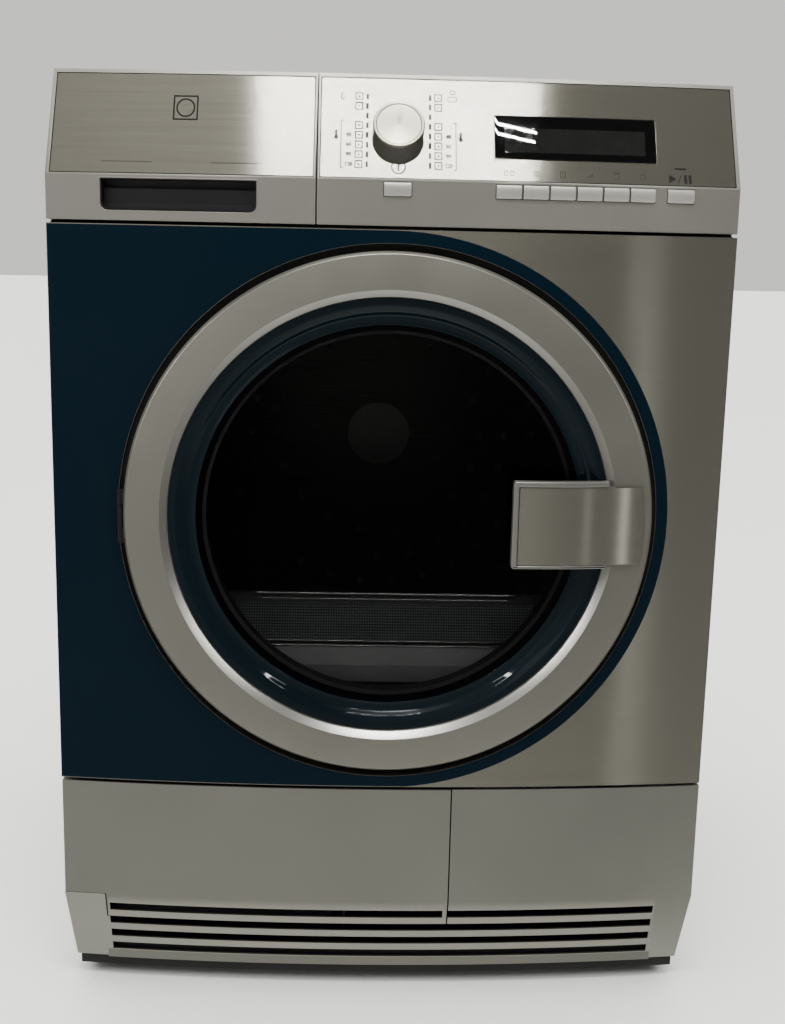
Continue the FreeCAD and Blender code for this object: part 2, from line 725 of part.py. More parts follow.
def control_board():
    """Circuit board with the display module, the knob's encoder and a switch per button."""
    board = leaning("board_sheet", (-50, 275), (-17, -18.6), (742, 826))
    module = leaning("board_display", (display_x[0] + 7, display_x[1] - 7), (-8, -17.5),
                     (display_z[0] + 5, display_z[1] - 5))
    bore = 3 + d.pin_clearance
    encoder = knob_piece("board_encoder", [(bore, -15), (8, -15), (8, -7), (bore, -7)])
    switches = []
    for name, (left, right) in button_spans().items():
        middle = (left + right) / 2
        surface = front_at(middle) + d.panel_set_back
        depth = (surface + 9.9, surface + 13.4)
        switches.append(box(f"{name}_switch", (middle - 3, middle + 3), depth, (748.5, 753.5)))
    return fuse("control_board", board, module, encoder, *switches)


def drawer_front():
    shell = panel_shell("drawer", drawer_span)
    grip_x, grip_z = (-251.5, -116.8), (728.4, 756.6)
    cup_x, cup_z = ((low - 2, high + 2) for low, high in (grip_x, grip_z))
    mouth = box("grip_mouth", grip_x, (at(-30), at(20)), grip_z)
    cup = box("grip_cup", cup_x, (at(-12), at(30)), cup_z)
    room = box("grip_room", grip_x, (at(-30), at(28)), grip_z)
    behind = bowed("grip_behind", (-half, 0), (20, -d.panel_set_back - 1), (700, 800))
    walls = cut("grip_walls", cup, room, behind)
    back = box("drawer_back", (3.4 - half, d.drawer_right), (at(48), at(51)), (d.strip_low + 2, 820))
    brace = box("drawer_brace", (-240, -130), (at(28), at(49)), (738, 742))
    return cut("drawer_front", fuse("drawer_whole", shell, walls, back, brace), mouth)


def drawer_fascia():
    return fascia_plate("drawer_fascia", drawer_span)


def water_tank():
    """Removable condensate container behind the drawer front, with its fill mouth."""
    x, y, z = (-286, -82), (at(51), at(480)), (763, 828)
    wall = 2.5
    outer = box("tank_outer", x, y, z)
    inner = box("tank_inner", *((low + wall, high - wall) for low, high in (x, y, z)))
    mouth = cylinder("tank_mouth", "z", (-184, at(440), 820), 22, 20)
    return cut("water_tank", outer, inner, mouth)


def drawer_housing():
    """Fixed channel that the condensate drawer slides in."""
    y, z = (at(64), at(560)), (758, 829)
    floor = box("channel_floor", (-291, -74), y, (z[0], z[0] + 2.5))
    left = box("channel_left", (-291, -288.6), y, z)
    right = box("channel_right", (-79.4, -77), y, z)
    rear = box("channel_rear", (-291, -77), (at(557), at(560)), z)
    drain = tube("channel_drain", "z", (-184, at(520), 744), 9, 6, 16)
    hole = cylinder("channel_drain_hole", "z", (-184, at(520), 740), 6, 30)
    return cut("drawer_housing", fuse("channel_whole", floor, left, right, rear, drain), hole)


# ---------------------------------------------------------------- door

def on_door(name, outline):
    """A piece of the door turned about the door's own centre line."""
    return turned(name, "y", outline, 0, d.front_y, d.door_z)


def hinge_tabs(name, reach, thick, slack):
    """Where the moving hinge leaf's two tabs pass through the door ring's edge."""
    low, high = 10.4 - slack, 24 + slack
    y = (at(-d.hinge_ahead - thick), at(-d.hinge_ahead + thick))
    return [
        box(f"{name}_{index}", reach, y, (d.door_z + bottom, d.door_z + top))
        for index, (bottom, top) in enumerate(((-high, -low), (low, high)))
    ]


def door_ring():
    rear, wall, inner = -8, 3, d.ring_inner
    blank = on_door("door_ring_blank", [
        (d.door_radius, rear), (d.door_radius, -18), (d.door_radius - 2.5, -21.6), (inner + 6.4, -26.6),
        (inner + 0.6, -21.2), (inner, -19.5), (inner, rear), (inner + wall, rear), (inner + wall, -19.6),
        (inner + wall + 2.4, -22.2), (d.door_radius - wall, -17.6), (d.door_radius - wall, rear)])
    slots = hinge_tabs("ring_slot", (-236, -212), 1.7, 0.3)
    return cut("door_ring", blank, *slots)


def door_inner_ring():
    outer, inner = d.ring_inner - 0.3, d.window_radius
    return on_door("door_inner_ring", [
        (outer, -19.2), (outer - 2.6, -15.6), (outer - 7, -12.8), (outer - 13, -11.2), (inner, -10.6),
        (inner, -8.8), (outer, -8.8)])


def door_glass():
    return on_door("door_glass", [
        (0, 8), (60, 6.8), (120, 2.8), (174.5, -8.6), (174.5, -4.8), (120, 6.6), (60, 10.8), (0, 12)])


def door_back_frame():
    blank = on_door("door_back_blank", [
        (226, -8), (226, -4.8), (180, -4.8), (180, -1.4), (168.5, -1.4), (168.5, 14), (163, 14),
        (163, -2), (172, -3.9), (175.2, -3.9), (175.2, -8)])
    room_z = (d.door_z - 26, d.door_z + 26)
    hinge_room = box("back_hinge_room", (-230, -202), (at(-9), at(-4)), room_z)
    return cut("door_back_frame", blank, hinge_room)


hinge_pin = 1.2


def door_hinge_leaf():
    """Moving leaf: plate inside the ring, two tabs through its edge, and their barrels."""
    z = (d.door_z - 24, d.door_z + 24)
    plate = box("leaf_plate", (-228, -204), (at(-9), at(-6)), z)
    step = box("leaf_step", (-228, -225), (at(-d.hinge_ahead - 1.4), at(-6)), z)
    tabs = hinge_tabs("leaf_tab", (-236.6, -225), 1.4, 0)
    barrels = []
    for index, low in enumerate((-24, 10.4)):
        start = (d.hinge_x, at(-d.hinge_ahead), d.door_z + low)
        barrels.append(cylinder(f"leaf_barrel_{index}", "z", start, d.hinge_barrel, 13.6))
    pin = cylinder("leaf_pin", "z", (d.hinge_x, at(-d.hinge_ahead), z[0]), hinge_pin, 48)
    return fuse("door_hinge_leaf", plate, step, *tabs, *barrels, pin)


def door_hinge_bracket():
    """Fixed leaf: arm from the recess to the barrel between the moving ones."""
    axis_y = at(-d.hinge_ahead)
    z = (d.door_z - 10, d.door_z + 10)
    arm = box("bracket_arm", (-238.1, -235.3), (axis_y, at(2)), z)
    foot_z = (d.door_z - 24, d.door_z + 24)
    foot_plate = box("bracket_foot", (-238.1, -228), (at(0), at(2)), foot_z)
    barrel = cylinder("bracket_barrel", "z", (d.hinge_x, axis_y, z[0]), d.hinge_barrel, 20)
    bore_start = (d.hinge_x, axis_y, z[0] - 2)
    bore = cylinder("bracket_bore", "z", bore_start, hinge_pin + d.pin_clearance, 24)
    return cut("door_hinge_bracket", fuse("bracket_whole", arm, foot_plate, barrel), bore)


def handle_plan(name, left, depths, thick, z):
    """Curved bar in plan, from the door ring across to the free end of the handle."""
    right = 226.5
    steps = 4
    bulge = 4.5
    front = []
    rear = []
    for step in range(steps + 1):
        part = step / steps
        x = left + (right - left) * part
        y = depths[0] + (depths[1] - depths[0]) * part - bulge * 4 * part * (1 - part)
        front.append((x, at(y)))
        rear.append((x, at(y + thick)))
    return prism(name, "z", front + rear[::-1], *z)


def handle_plate():
    z = (d.handle_low + 5.2, d.handle_high - 5.2)
    blank = handle_plan("plate_blank", 112.6, (-36.6, -24.2), 1.2, z)
    end = door_disc("plate_end", 226.3, -60, 10)
    return common("handle_plate", blank, end)


def handle_frame():
    """Moulded carrier under the plate: rim on three sides, and the foot on the ring."""
    z = (d.handle_low, d.handle_high)
    inset = (d.handle_low + 4.8, d.handle_high - 4.8)
    blank = handle_plan("frame_blank", 107, (-38, -23.4), 9, z)
    recess = handle_plan("frame_recess", 112.2, (-41.4, -29), 6.1, inset)
    free_end = door_disc("frame_free_end", d.ring_inner + 1.6, -60, 10)
    inset_room = box("frame_inset", (150, 240), (at(-60), at(10)), inset)
    on_ring = common("frame_on_ring", door_disc("frame_end", 225.5, -60, 10), inset_room)
    reach = fuse("frame_reach", free_end, on_ring)
    outer, inner, window = d.door_radius, d.ring_inner, d.window_radius
    ring_side = on_door("frame_ring_side", [
        (outer + 9, 30), (outer + 9, -19), (outer - 2.5, -21.9), (inner + 6.3, -26.9),
        (inner + 0.3, -21.4), (inner - 0.2, -19.6), (inner - 0.2, 30)])
    inner_side = on_door("frame_inner_side", [
        (inner, -20.2), (inner - 3.5, -16.1), (inner - 7.9, -13.3), (window + 10, -11.8),
        (window - 1, -11.2), (window - 1, 10), (inner, 10)])
    whole = common("frame_inside", cut("frame_hollowed", blank, recess), reach)
    return cut("handle_frame", whole, ring_side, inner_side)


def latch_hook():
    arm = box("hook_arm", (211, 218), (at(-4.8), at(15)), (d.door_z - 6, d.door_z + 6))
    notch = box("hook_notch", (209, 214.5), (at(6), at(11)), (d.door_z - 8, d.door_z + 8))
    return cut("latch_hook", arm, notch)


def door_lock():
    """Fixed lock box behind the recess, open towards the hook."""
    case = box("lock_case", (199, 229), (at(5), at(34)), (d.door_z - 24, d.door_z + 24))
    room = box("lock_room", (205.5, 223.5), (at(0), at(24)), (d.door_z - 11, d.door_z + 11))
    return cut("door_lock", case, room)


def door_seal():
    return on_door("door_seal", [(183, 2), (183, -2.6), (185, -4.2), (190, -4.2), (192, -2.6), (192, 2)])


# ---------------------------------------------------------------- lint filter

def lint_filter():
    """Cassette in the loading mouth: a sloping grid and screen above, its pocket below."""
    slope_outline = [(at(51), 378), (at(57), 376), (at(29), 318), (at(24), 321)]
    gap_outline = [(at(46), 366), (at(60), 359), (at(38), 319), (at(22), 327)]
    screen_outline = [(at(50), 372), (at(50.8), 371.6), (at(27.2), 320.4), (at(26.4), 320.8)]
    slope = prism("filter_slope", "x", slope_outline, -140, 140)
    inside = door_disc("filter_inside", d.mouth_radius - 0.6, 0, 90)
    grid = []
    for step in range(11):
        middle = -90 + 18 * step
        grid.append(prism(f"filter_gap_{step}", "x", gap_outline, middle - 7, middle + 7))
    screen = prism("filter_screen", "x", screen_outline, -100, 100)
    face = fuse("filter_face", cut("filter_grid", common("filter_plate", slope, inside), *grid), screen)
    bar_blank = box("filter_bar_blank", (-150, 150), (at(51), at(59)), (372, 381))
    bar = common("filter_bar", bar_blank, inside)
    pocket = box("filter_pocket", (-104, 104), (at(25), at(59)), (242, 322))
    pocket_room = box("filter_pocket_room", (-101, 101), (at(27.5), at(56.5)), (245, 330))
    side_windows = box("filter_windows", (-95, 95), (at(10), at(70)), (250, 300))
    walls = cut("filter_walls", pocket, pocket_room, side_windows)
    mesh = box("filter_mesh", (-96, 96), (at(25.6), at(26.4)), (249, 301))
    return fuse("lint_filter", face, bar, walls, mesh)


# ---------------------------------------------------------------- drum and drive

def drum_shell():
    r, front, rear = d.drum_radius, d.drum_front, d.drum_rear
    mouth, middle, sheet_metal = 197, 40, 1.2
    blank = turned("drum_blank", "y", [
        (mouth, front), (r, front), (r, rear), (middle, rear), (middle, rear - sheet_metal),
        (r - sheet_metal, rear - sheet_metal), (r - sheet_metal, front + sheet_metal),
        (mouth, front + sheet_metal)],
        0, d.front_y, d.drum_z)
    holes = []
    for ring_radius, count in ((130, 18), (165, 24), (200, 30)):
        for step in range(count):
            angle = 2 * math.pi * step / count
            spot = (ring_radius * math.cos(angle), at(rear - 6),
                    d.drum_z + ring_radius * math.sin(angle))
            holes.append(cylinder(f"drum_hole_{ring_radius}_{step}", "y", spot, 5, 12))
    return cut("drum_shell", blank, *holes)


def drum_lifters():
    """Three vanes inside the drum, a third of a turn apart."""
    vanes = []
    for step in range(3):
        outline = [(-27, -273.2), (27, -273.2), (14, -226), (8, -220), (-8, -220), (-14, -226)]
        vane = prism(f"lifter_{step}", "y", outline, d.drum_front + 12, d.drum_rear - 14)
        inner = [(-24, -275), (24, -275), (11.5, -228.5), (6.5, -223), (-6.5, -223), (-11.5, -228.5)]
        hollow = prism(f"lifter_hollow_{step}", "y", inner, d.drum_front + 15, d.drum_rear - 17)
        shell = cut(f"lifter_shell_{step}", vane, hollow)
        turn = FreeCAD.Rotation(Vector(0, 1, 0), 60 + 120 * step)
        vanes.append(place(shell, 0, d.front_y, d.drum_z, turn))
    return fuse("drum_lifters", *vanes)


shaft_radius = 12.5


def drum_shaft():
    start = d.drum_rear
    return turned("drum_shaft", "y", [
        (0, start), (75, start), (75, start + 3), (24, start + 8), (shaft_radius, start + 10),
        (shaft_radius, start + 34), (0, start + 34)], 0, d.front_y, d.drum_z)


def drum_bearing():
    inner, outer = shaft_radius + d.pin_clearance, 24.8
    low, high = d.rear_sheet - 8, d.rear_sheet + 9
    return turned("drum_bearing", "y", [(inner, low), (outer, low), (outer, high), (inner, high)],
                  0, d.front_y, d.drum_z)


def roller_place(side):
    """Centre of a support roller under the drum's front edge."""
    reach = d.drum_radius + d.roller_radius + 0.4
    angle = math.radians(d.roller_angle.value)
    return side * reach * math.sin(angle), d.drum_z - reach * math.cos(angle)


def support_roller(name, side):
    x, z = roller_place(side)
    return turned(name, "y", [
        (0, 40), (6, 40), (6, 70), (12, 70), (12, 76), (d.roller_radius - 2, 76), (d.roller_radius, 79),
        (d.roller_radius, 93), (d.roller_radius - 2, 96), (12, 96), (12, 99), (0, 99)], x, d.front_y, z)


def motor():
    shell = cylinder("motor_shell", "y", (d.motor_x, at(200), d.motor_z), 58, 124)
    room = cylinder("motor_room", "y", (d.motor_x, at(203), d.motor_z), 32, 118)
    bore = cylinder("motor_bore", "y", (d.motor_x, at(190), d.motor_z), 6 + d.pin_clearance, 150)
    low = d.motor_z - 75
    feet = [
        box(f"motor_foot_{index}", (d.motor_x - 42, d.motor_x + 42), (at(y), at(y + 10)),
            (low, d.motor_z - 40))
        for index, y in enumerate((208, 302))
    ]
    return cut("motor", fuse("motor_whole", shell, *feet), room, bore)


def motor_rotor():
    """Shaft with its armature inside the motor and the grooved belt pulley at the front."""
    flange = d.pulley_radius + 2.5
    low, high = d.belt_from - 1, d.belt_from + d.belt_width + 1
    return turned("motor_rotor", "y", [
        (0, low - 4), (flange, low - 4), (flange, low), (d.pulley_radius, low), (d.pulley_radius, high),
        (flange, high), (flange, high + 3), (6, high + 3), (6, 208), (31, 208), (31, 316), (6, 316),
        (6, 505), (0, 505)], d.motor_x, d.front_y, d.motor_z)


def fan_wheel():
    """Blower wheel keyed to the motor's rear end."""
    x, z = d.motor_x, d.motor_z
    hub = tube("fan_hub", "y", (x, at(450), z), 14, 6, 48)
    disc = tube("fan_disc", "y", (x, at(494), z), 82, 6, 4)
    blades = []
    for step in range(16):
        blade = doc.addObject("Part::Box", f"fan_blade_{step}")
        for prop, size in (("Length", 26), ("Width", 40), ("Height", 2)):
            bind(blade, prop, size)
        angle = 22.5 * step
        across = 55
        spot_x = x + across * math.cos(math.radians(angle))
        spot_z = z + across * math.sin(math.radians(angle))
        blades.append(place(blade, spot_x, at(455), spot_z, FreeCAD.Rotation(Vector(0, 1, 0), -angle)))
    return fuse("fan_wheel", hub, disc, *blades)


def fan_housing():
    x, z = d.motor_x, d.motor_z
    low = d.tray_low + 3
    spiral = cylinder("fan_spiral", "y", (x, at(444), z), 92, 64)
    outlet = box("fan_outlet", (70, 225), (at(508), at(d.rear_sheet)), (60, 180))
    stand = box("fan_stand", (x - 50, x + 50), (at(450), at(500)), (low, z - 60))
    room = cylinder("fan_room", "y", (x, at(447), z), 89, 58)
    outlet_room = box("fan_outlet_room", (73, 222), (at(500), at(d.rear_sheet + 1)), (63, 177))
    inlet = cylinder("fan_inlet", "y", (x, at(440), z), 45, 20)
    return cut("fan_housing", fuse("fan_whole", spiral, outlet, stand), room, outlet_room, inlet)


def drive_belt():
    """Flat ribbed belt about the drum and the motor pulley, with open air at both."""
    slack = 0.45
    thick = 3.0
    drum = Vector(0, 0, d.drum_z.value)
    pulley = Vector(d.motor_x.value, 0, d.motor_z.value)
    y = at(d.belt_from).value

    def loop(big, small):
        """Closed wire of two arcs and the two outer tangents of the circles."""
        along = (pulley - drum).normalize()
        side = Vector(-along.z, 0, along.x)
        sine = (big - small) / (pulley - drum).Length
        cosine = math.sqrt(1 - sine * sine)
        normals = [along * sine + side * cosine * sign for sign in (1, -1)]
        lift = Vector(0, y, 0)
        big_ends = [drum + normal * big + lift for normal in normals]
        small_ends = [pulley + normal * small + lift for normal in normals]
        big_far = drum - along * big + lift
        small_far = pulley + along * small + lift
        edges = [
            Part.Arc(big_ends[0], big_far, big_ends[1]).toShape(),
            Part.LineSegment(big_ends[1], small_ends[1]).toShape(),
            Part.Arc(small_ends[1], small_far, small_ends[0]).toShape(),
            Part.LineSegment(small_ends[0], big_ends[0]).toShape(),
        ]
        return Part.Wire(edges)

    big, small = d.drum_radius.value + slack, d.pulley_radius.value + slack
    push = Vector(0, d.belt_width.value, 0)
    outside = Part.Face(loop(big + thick, small + thick)).extrude(push)
    inside = Part.Face(loop(big, small)).extrude(push)
    belt = doc.addObject("Part::Feature", "drive_belt")
    belt.Shape = outside.cut(inside)
    return belt


# ---------------------------------------------------------------- air, water and power

def condenser():
    """Slide-out heat exchanger: a block of fins between two end frames."""
    x, z = (-262, -46), (50.3, 186)
    block = box("condenser_block", (x[0] + 6, x[1] - 6), (at(64), at(438)), (z[0] + 4, z[1] - 4))
    front = box("condenser_front", x, (at(52), at(64)), z)
    rear = box("condenser_rear", x, (at(438), at(446)), z)
    channels = [
        box(f"condenser_channel_{step}", x, (at(70 + 22 * step), at(88 + 22 * step)),
            (z[0] + 12, z[1] - 12))
        for step in range(16)
    ]
    grip = box("condenser_grip", (-190, -118), (at(44), at(53)), (102, 128))
    grip_room = box("condenser_grip_room", (-184, -124), (at(40), at(60)), (107, 123))
    finned = cut("condenser_finned", block, *channels)
    return cut("condenser", fuse("condenser_whole", finned, front, rear, grip), grip_room)


def heater():
    """Two tubular heating rings on a cross of brackets, in the rear duct."""
    start = d.rear_sheet + d.steel
    rings = []
    for index, radius in enumerate((150, 180)):
        ring_bar = doc.addObject("Part::Torus", f"heater_ring_{index}")
        bind(ring_bar, "Radius1", radius)
        bind(ring_bar, "Radius2", 3.5)
        rings.append(place(ring_bar, 0, at(start + 8), d.drum_z, CYLINDER_TURN["y"]))
    across = box("heater_across", (-205, 205), (at(start + 5), at(start + 11)),
                 (d.drum_z - 4, d.drum_z + 4))
    middle = cylinder("heater_middle", "y", (0, at(start), d.drum_z), 140, 16)
    ends = [
        box(f"heater_foot_{side + 1}", (side * 198 - 6, side * 198 + 6), (at(start), at(start + 11)),
            (d.drum_z - 4, d.drum_z + 4))
        for side in (-1, 1)
    ]
    return fuse("heater", *rings, cut("heater_arms", across, middle), *ends)


def condensate_pump():
    """Pump in the base's rear corner; its spigot leaves through the rear sheet."""
    x, z = d.spigot_x, d.spigot_z
    body = box("pump_body", (x - 24, x + 36), (at(470), at(530)), (d.tray_low + 3, 90))
    cap = cylinder("pump_cap", "z", (x + 6, at(500), 88), 24, 30)
    tube_length = 68
    free_end = 14.5
    spigot = cylinder("pump_spigot", "y", (x, at(520), z), 8, tube_length)
    sleeve_seat = cylinder("pump_sleeve_seat", "y", (x, at(588 - free_end), z), 9, free_end)
    bore = cylinder("pump_bore", "y", (x, at(540), z), 6, tube_length)
    return cut("condensate_pump", fuse("pump_whole", body, cap, spigot, sleeve_seat), bore)


def mains_inlet():
    """Cable gland for the supply lead, in the rear sheet's upper corner."""
    start = d.rear_sheet + d.steel
    return turned("mains_inlet", "y", [
        (6, start), (18, start), (18, start + 3), (14, start + 4), (12, start + 15), (6, start + 15)],
        d.inlet_x, d.front_y, d.inlet_z)


# ---------------------------------------------------------------- the whole machine

def build():
    keep("base_tray", base_tray())
    for index in range(4):
        piece = foot(index)
        keep(piece.Name, piece)
    keep("left_side_panel", side_panel("left_side_panel", -1))
    keep("right_side_panel", side_panel("right_side_panel", 1))
    for make in (
            worktop, rear_panel, rear_duct_cover, front_panel, front_panel_film, front_bulkhead,
            plinth_grille, plinth_flap, control_housing, control_fascia, display_window, control_board,
            programme_knob, knob_cap, drawer_front, drawer_fascia, water_tank, drawer_housing,
            door_ring, door_inner_ring, door_glass, door_back_frame, door_hinge_leaf, door_hinge_bracket,
            handle_plate, handle_frame, latch_hook, door_lock, door_seal, lint_filter,
            drum_shell, drum_lifters, drum_shaft, drum_bearing, motor, motor_rotor, fan_wheel,
            fan_housing, drive_belt, condenser, heater, condensate_pump, mains_inlet):
        keep(make.__name__, make())
    for name, span in button_spans().items():
        keep(name, button(name, span))
    keep("support_roller_left", support_roller("support_roller_left", -1))
    keep("support_roller_right", support_roller("support_roller_right", 1))


def check_and_write():
    doc.recompute()
    for thing in doc.Objects:
        if "Invalid" in thing.State or "Error" in thing.State:
            raise SystemExit(f"{thing.Name} failed: {thing.State}")
    os.makedirs("parts", exist_ok=True)
    for name, piece in nodes.items():
        shape = piece.Shape
        if shape.isNull() or not shape.isValid() or not shape.Solids:
            raise SystemExit(f"{name} has no valid solid")
        shape.exportStep(f"parts/{name}.step")
    print(f"{len(nodes)} sub-parts written")


build()
check_and_write()
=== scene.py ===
import json
import math

import bmesh
import bpy
from mathutils import Matrix, Vector


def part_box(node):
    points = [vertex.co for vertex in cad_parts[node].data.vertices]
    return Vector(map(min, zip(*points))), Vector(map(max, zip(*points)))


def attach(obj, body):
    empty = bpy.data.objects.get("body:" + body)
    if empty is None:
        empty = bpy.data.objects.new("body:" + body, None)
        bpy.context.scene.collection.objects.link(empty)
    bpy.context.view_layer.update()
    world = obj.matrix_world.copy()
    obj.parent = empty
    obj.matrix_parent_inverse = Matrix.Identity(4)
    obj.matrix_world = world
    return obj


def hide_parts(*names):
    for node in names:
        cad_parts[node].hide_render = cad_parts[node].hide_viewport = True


# A condenser tumble dryer with a bowed steel front. Sizes here are in millimetres, in the CAD
# frame: X to the right, Y from front to back, Z up; MM turns them into Blender's metres.

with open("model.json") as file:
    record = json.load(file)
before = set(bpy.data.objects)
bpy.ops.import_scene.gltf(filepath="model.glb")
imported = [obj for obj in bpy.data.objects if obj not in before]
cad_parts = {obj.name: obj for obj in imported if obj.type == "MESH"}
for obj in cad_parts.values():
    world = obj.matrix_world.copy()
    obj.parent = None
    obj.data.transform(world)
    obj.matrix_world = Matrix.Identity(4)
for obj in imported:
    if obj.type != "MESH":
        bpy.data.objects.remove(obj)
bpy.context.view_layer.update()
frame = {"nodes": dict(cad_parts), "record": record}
nodes = frame["nodes"]
record = frame["record"]
MM = 0.001

body_of_node = {
    node: body for body, members in record["behaviour"]["bodies"].items() for node in members}
slot_of_node = {row["node"]: row["material_slot"] for row in record["subparts"]}


def node_box(node):
    """Lowest and highest corner of a CAD node, in millimetres."""
    low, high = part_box(node)
    return low / MM, high / MM


# ---------------------------------------------------------------- places taken from the frame

BOW = 17
KINK = 758.5
LEAN = 0.4977
TILT = math.atan(LEAN)
SET_BACK = 1
panel_low, panel_high = node_box("front_panel")
EDGE_Y = panel_low.y + BOW
HALF = panel_high.x
BOW_RADIUS = (HALF * HALF + BOW * BOW) / (2 * BOW)
ring_low, ring_high = node_box("door_ring")
DOOR_Z = (ring_low.z + ring_high.z) / 2
DOOR_RADIUS = (ring_high.z - ring_low.z) / 2
RING_INNER = 194.6
WINDOW_RADIUS = 171


def at(depth):
    """A place in Y, given as the distance behind the front panel's side edges."""
    return EDGE_Y + depth


def front_at(x):
    """Y of the bowed front surface."""
    return at(BOW_RADIUS - BOW) - math.sqrt(BOW_RADIUS ** 2 - x * x)


def strip_at(x):
    """Y of the upright strip under the leaning fascia."""
    return front_at(x) + SET_BACK


def fascia_at(x, z):
    """Y of the leaning face of the control panel."""
    return strip_at(x) + (z - KINK) * LEAN


# ---------------------------------------------------------------- materials

def srgb(red, green, blue):
    """Linear colour from 0-255 display values."""
    return tuple(
        part / 12.92 if part <= 0.04045 else ((part + 0.055) / 1.055) ** 2.4
        for part in (red / 255, green / 255, blue / 255))


class Finish:
    """One material under construction: its Principled shader, and short ways to feed it."""

    def __init__(self, name, color, roughness, **values):
        self.material = bpy.data.materials.new(name)
        self.material.use_nodes = True
        self.tree = self.material.node_tree
        self.shader = self.tree.nodes["Principled BSDF"]
        self.shader.inputs["Base Color"].default_value = (*color, 1)
        self.shader.inputs["Roughness"].default_value = roughness
        for socket, value in values.items():
            self.shader.inputs[socket.replace("_", " ")].default_value = value
        self.object_place = self.tree.nodes.new("ShaderNodeTexCoord").outputs["Object"]
        self.last_normal = None

    def node(self, kind, **inputs):
        made = self.tree.nodes.new(f"ShaderNode{kind}")
        for socket, value in inputs.items():
            self.feed(made.inputs[socket.replace("_", " ")], value)
        return made

    def feed(self, socket, value):
        if isinstance(value, bpy.types.NodeSocket):
            self.tree.links.new(value, socket)
        else:
            socket.default_value = value

    def noise(self, scale, stretch=(1, 1, 1), detail=3.0, rough=0.55):
        """Noise in object space; scale counts cells a metre, stretch multiplies each axis."""
        mapped = self.node("Mapping", Vector=self.object_place, Scale=stretch)
        made = self.node(
            "TexNoise", Vector=mapped.outputs[0], Scale=scale, Detail=detail, Roughness=rough)
        return made.outputs["Fac"]

    def spread(self, source, low, high, start=0.3, stop=0.7):
        made = self.node(
            "MapRange", Value=source, From_Min=start, From_Max=stop, To_Min=low, To_Max=high)
        return made.outputs["Result"]

    def combine(self, operation, one, other):
        made = self.node("Math")
        made.operation = operation
        self.feed(made.inputs[0], one)
        self.feed(made.inputs[1], other)
        return made.outputs[0]

    def shade(self, source, one, other):
        """Base colour between two colours."""
        made = self.node("Mix")
        made.data_type = "RGBA"
        self.feed(made.inputs["Factor"], source)
        color_inputs = [socket for socket in made.inputs if socket.type == "RGBA"]
        self.feed(color_inputs[0], (*one, 1))
        self.feed(color_inputs[1], (*other, 1))
        output = next(socket for socket in made.outputs if socket.type == "RGBA")
        self.feed(self.shader.inputs["Base Color"], output)
        return output

    def roughness(self, source, low, high, start=0.3, stop=0.7):
        self.feed(self.shader.inputs["Roughness"], self.spread(source, low, high, start, stop))

    def bump(self, source, distance, strength=1.0):
        """Surface relief; distance is in millimetres."""
        made = self.node("Bump", Height=source, Distance=distance * MM, Strength=strength)
        if self.last_normal is not None:
            self.feed(made.inputs["Normal"], self.last_normal)
        self.last_normal = made.outputs["Normal"]
        self.feed(self.shader.inputs["Normal"], self.last_normal)

    def mottle(self, source, color, less, more):
        """Base colour that wavers between a little less and a little more than one colour."""
        darker = tuple(part * less for part in color)
        lighter = tuple(min(1, part * more) for part in color)
        self.shade(self.spread(source, 0, 1), darker, lighter)

    def radial_tangent(self):
        """Sheen that runs round the piece's own Z."""
        tangent = self.node("Tangent")
        tangent.direction_type = "RADIAL"
        tangent.axis = "Z"
        self.feed(self.shader.inputs["Tangent"], tangent.outputs[0])


def brushed(name, color, dark, roughness, anisotropy=1.0):
    """Brushed metal: long fine level scratches, and patches that differ a little."""
    made = Finish(name, color, roughness, Metallic=0.93, Anisotropic=anisotropy, Anisotropic_Rotation=0.25)
    scratches = made.noise(1, (14, 14, 2600), 4, 0.7)
    bands = made.noise(1, (4, 4, 420), 2)
    smudges = made.noise(7, detail=4)
    uneven = made.combine("MULTIPLY", scratches, made.combine("ADD", bands, 0.5))
    made.shade(made.spread(uneven, 0, 1), dark, color)
    handled = made.combine(
        "ADD", made.combine("MULTIPLY", bands, 0.55), made.combine("MULTIPLY", smudges, 0.45))
    made.roughness(handled, roughness * 0.93, roughness * 1.08)
    made.bump(scratches, 0.006, 0.25)
    made.radial_tangent()
    return made


def painted(name, color, roughness, grain=0.01, scale=2200, fleck=0.08, **values):
    """Paint or lacquer: slight orange peel, with faint cloudy differences."""
    made = Finish(name, color, roughness, **values)
    peel = made.noise(scale, detail=2)
    clouds = made.noise(6, detail=4)
    made.mottle(clouds, color, 1 - fleck, 1 + fleck)
    made.roughness(clouds, roughness * 0.85, roughness * 1.2)
    made.bump(peel, grain, 0.5)
    return made


def moulded(name, color, roughness, grain=0.03, scale=1500, fleck=0.12):
    """Moulded plastic or rubber: fine spark-eroded grain, with dull handling marks."""
    made = Finish(name, color, roughness)
    pits = made.noise(scale, detail=3, rough=0.7)
    clouds = made.noise(14, detail=5)
    made.mottle(clouds, color, 1 - fleck, 1 + fleck)
    made.roughness(clouds, roughness * 0.85, min(1, roughness * 1.2))
    made.bump(pits, grain, 0.6)
    return made


def satin_metal(name, color, roughness, metallic=1.0):
    """Satin lacquered metal: very fine sparkle under a soft clear coat."""
    made = Finish(name, color, roughness, Metallic=metallic)
    sparkle = made.noise(3500, detail=2, rough=0.8)
    clouds = made.noise(9, detail=4)
    made.mottle(made.combine("MULTIPLY", made.combine("ADD", sparkle, clouds), 0.5), color, 0.93, 1.05)
    made.roughness(clouds, roughness * 0.9, roughness * 1.15)
    made.bump(sparkle, 0.01, 0.35)
    return made


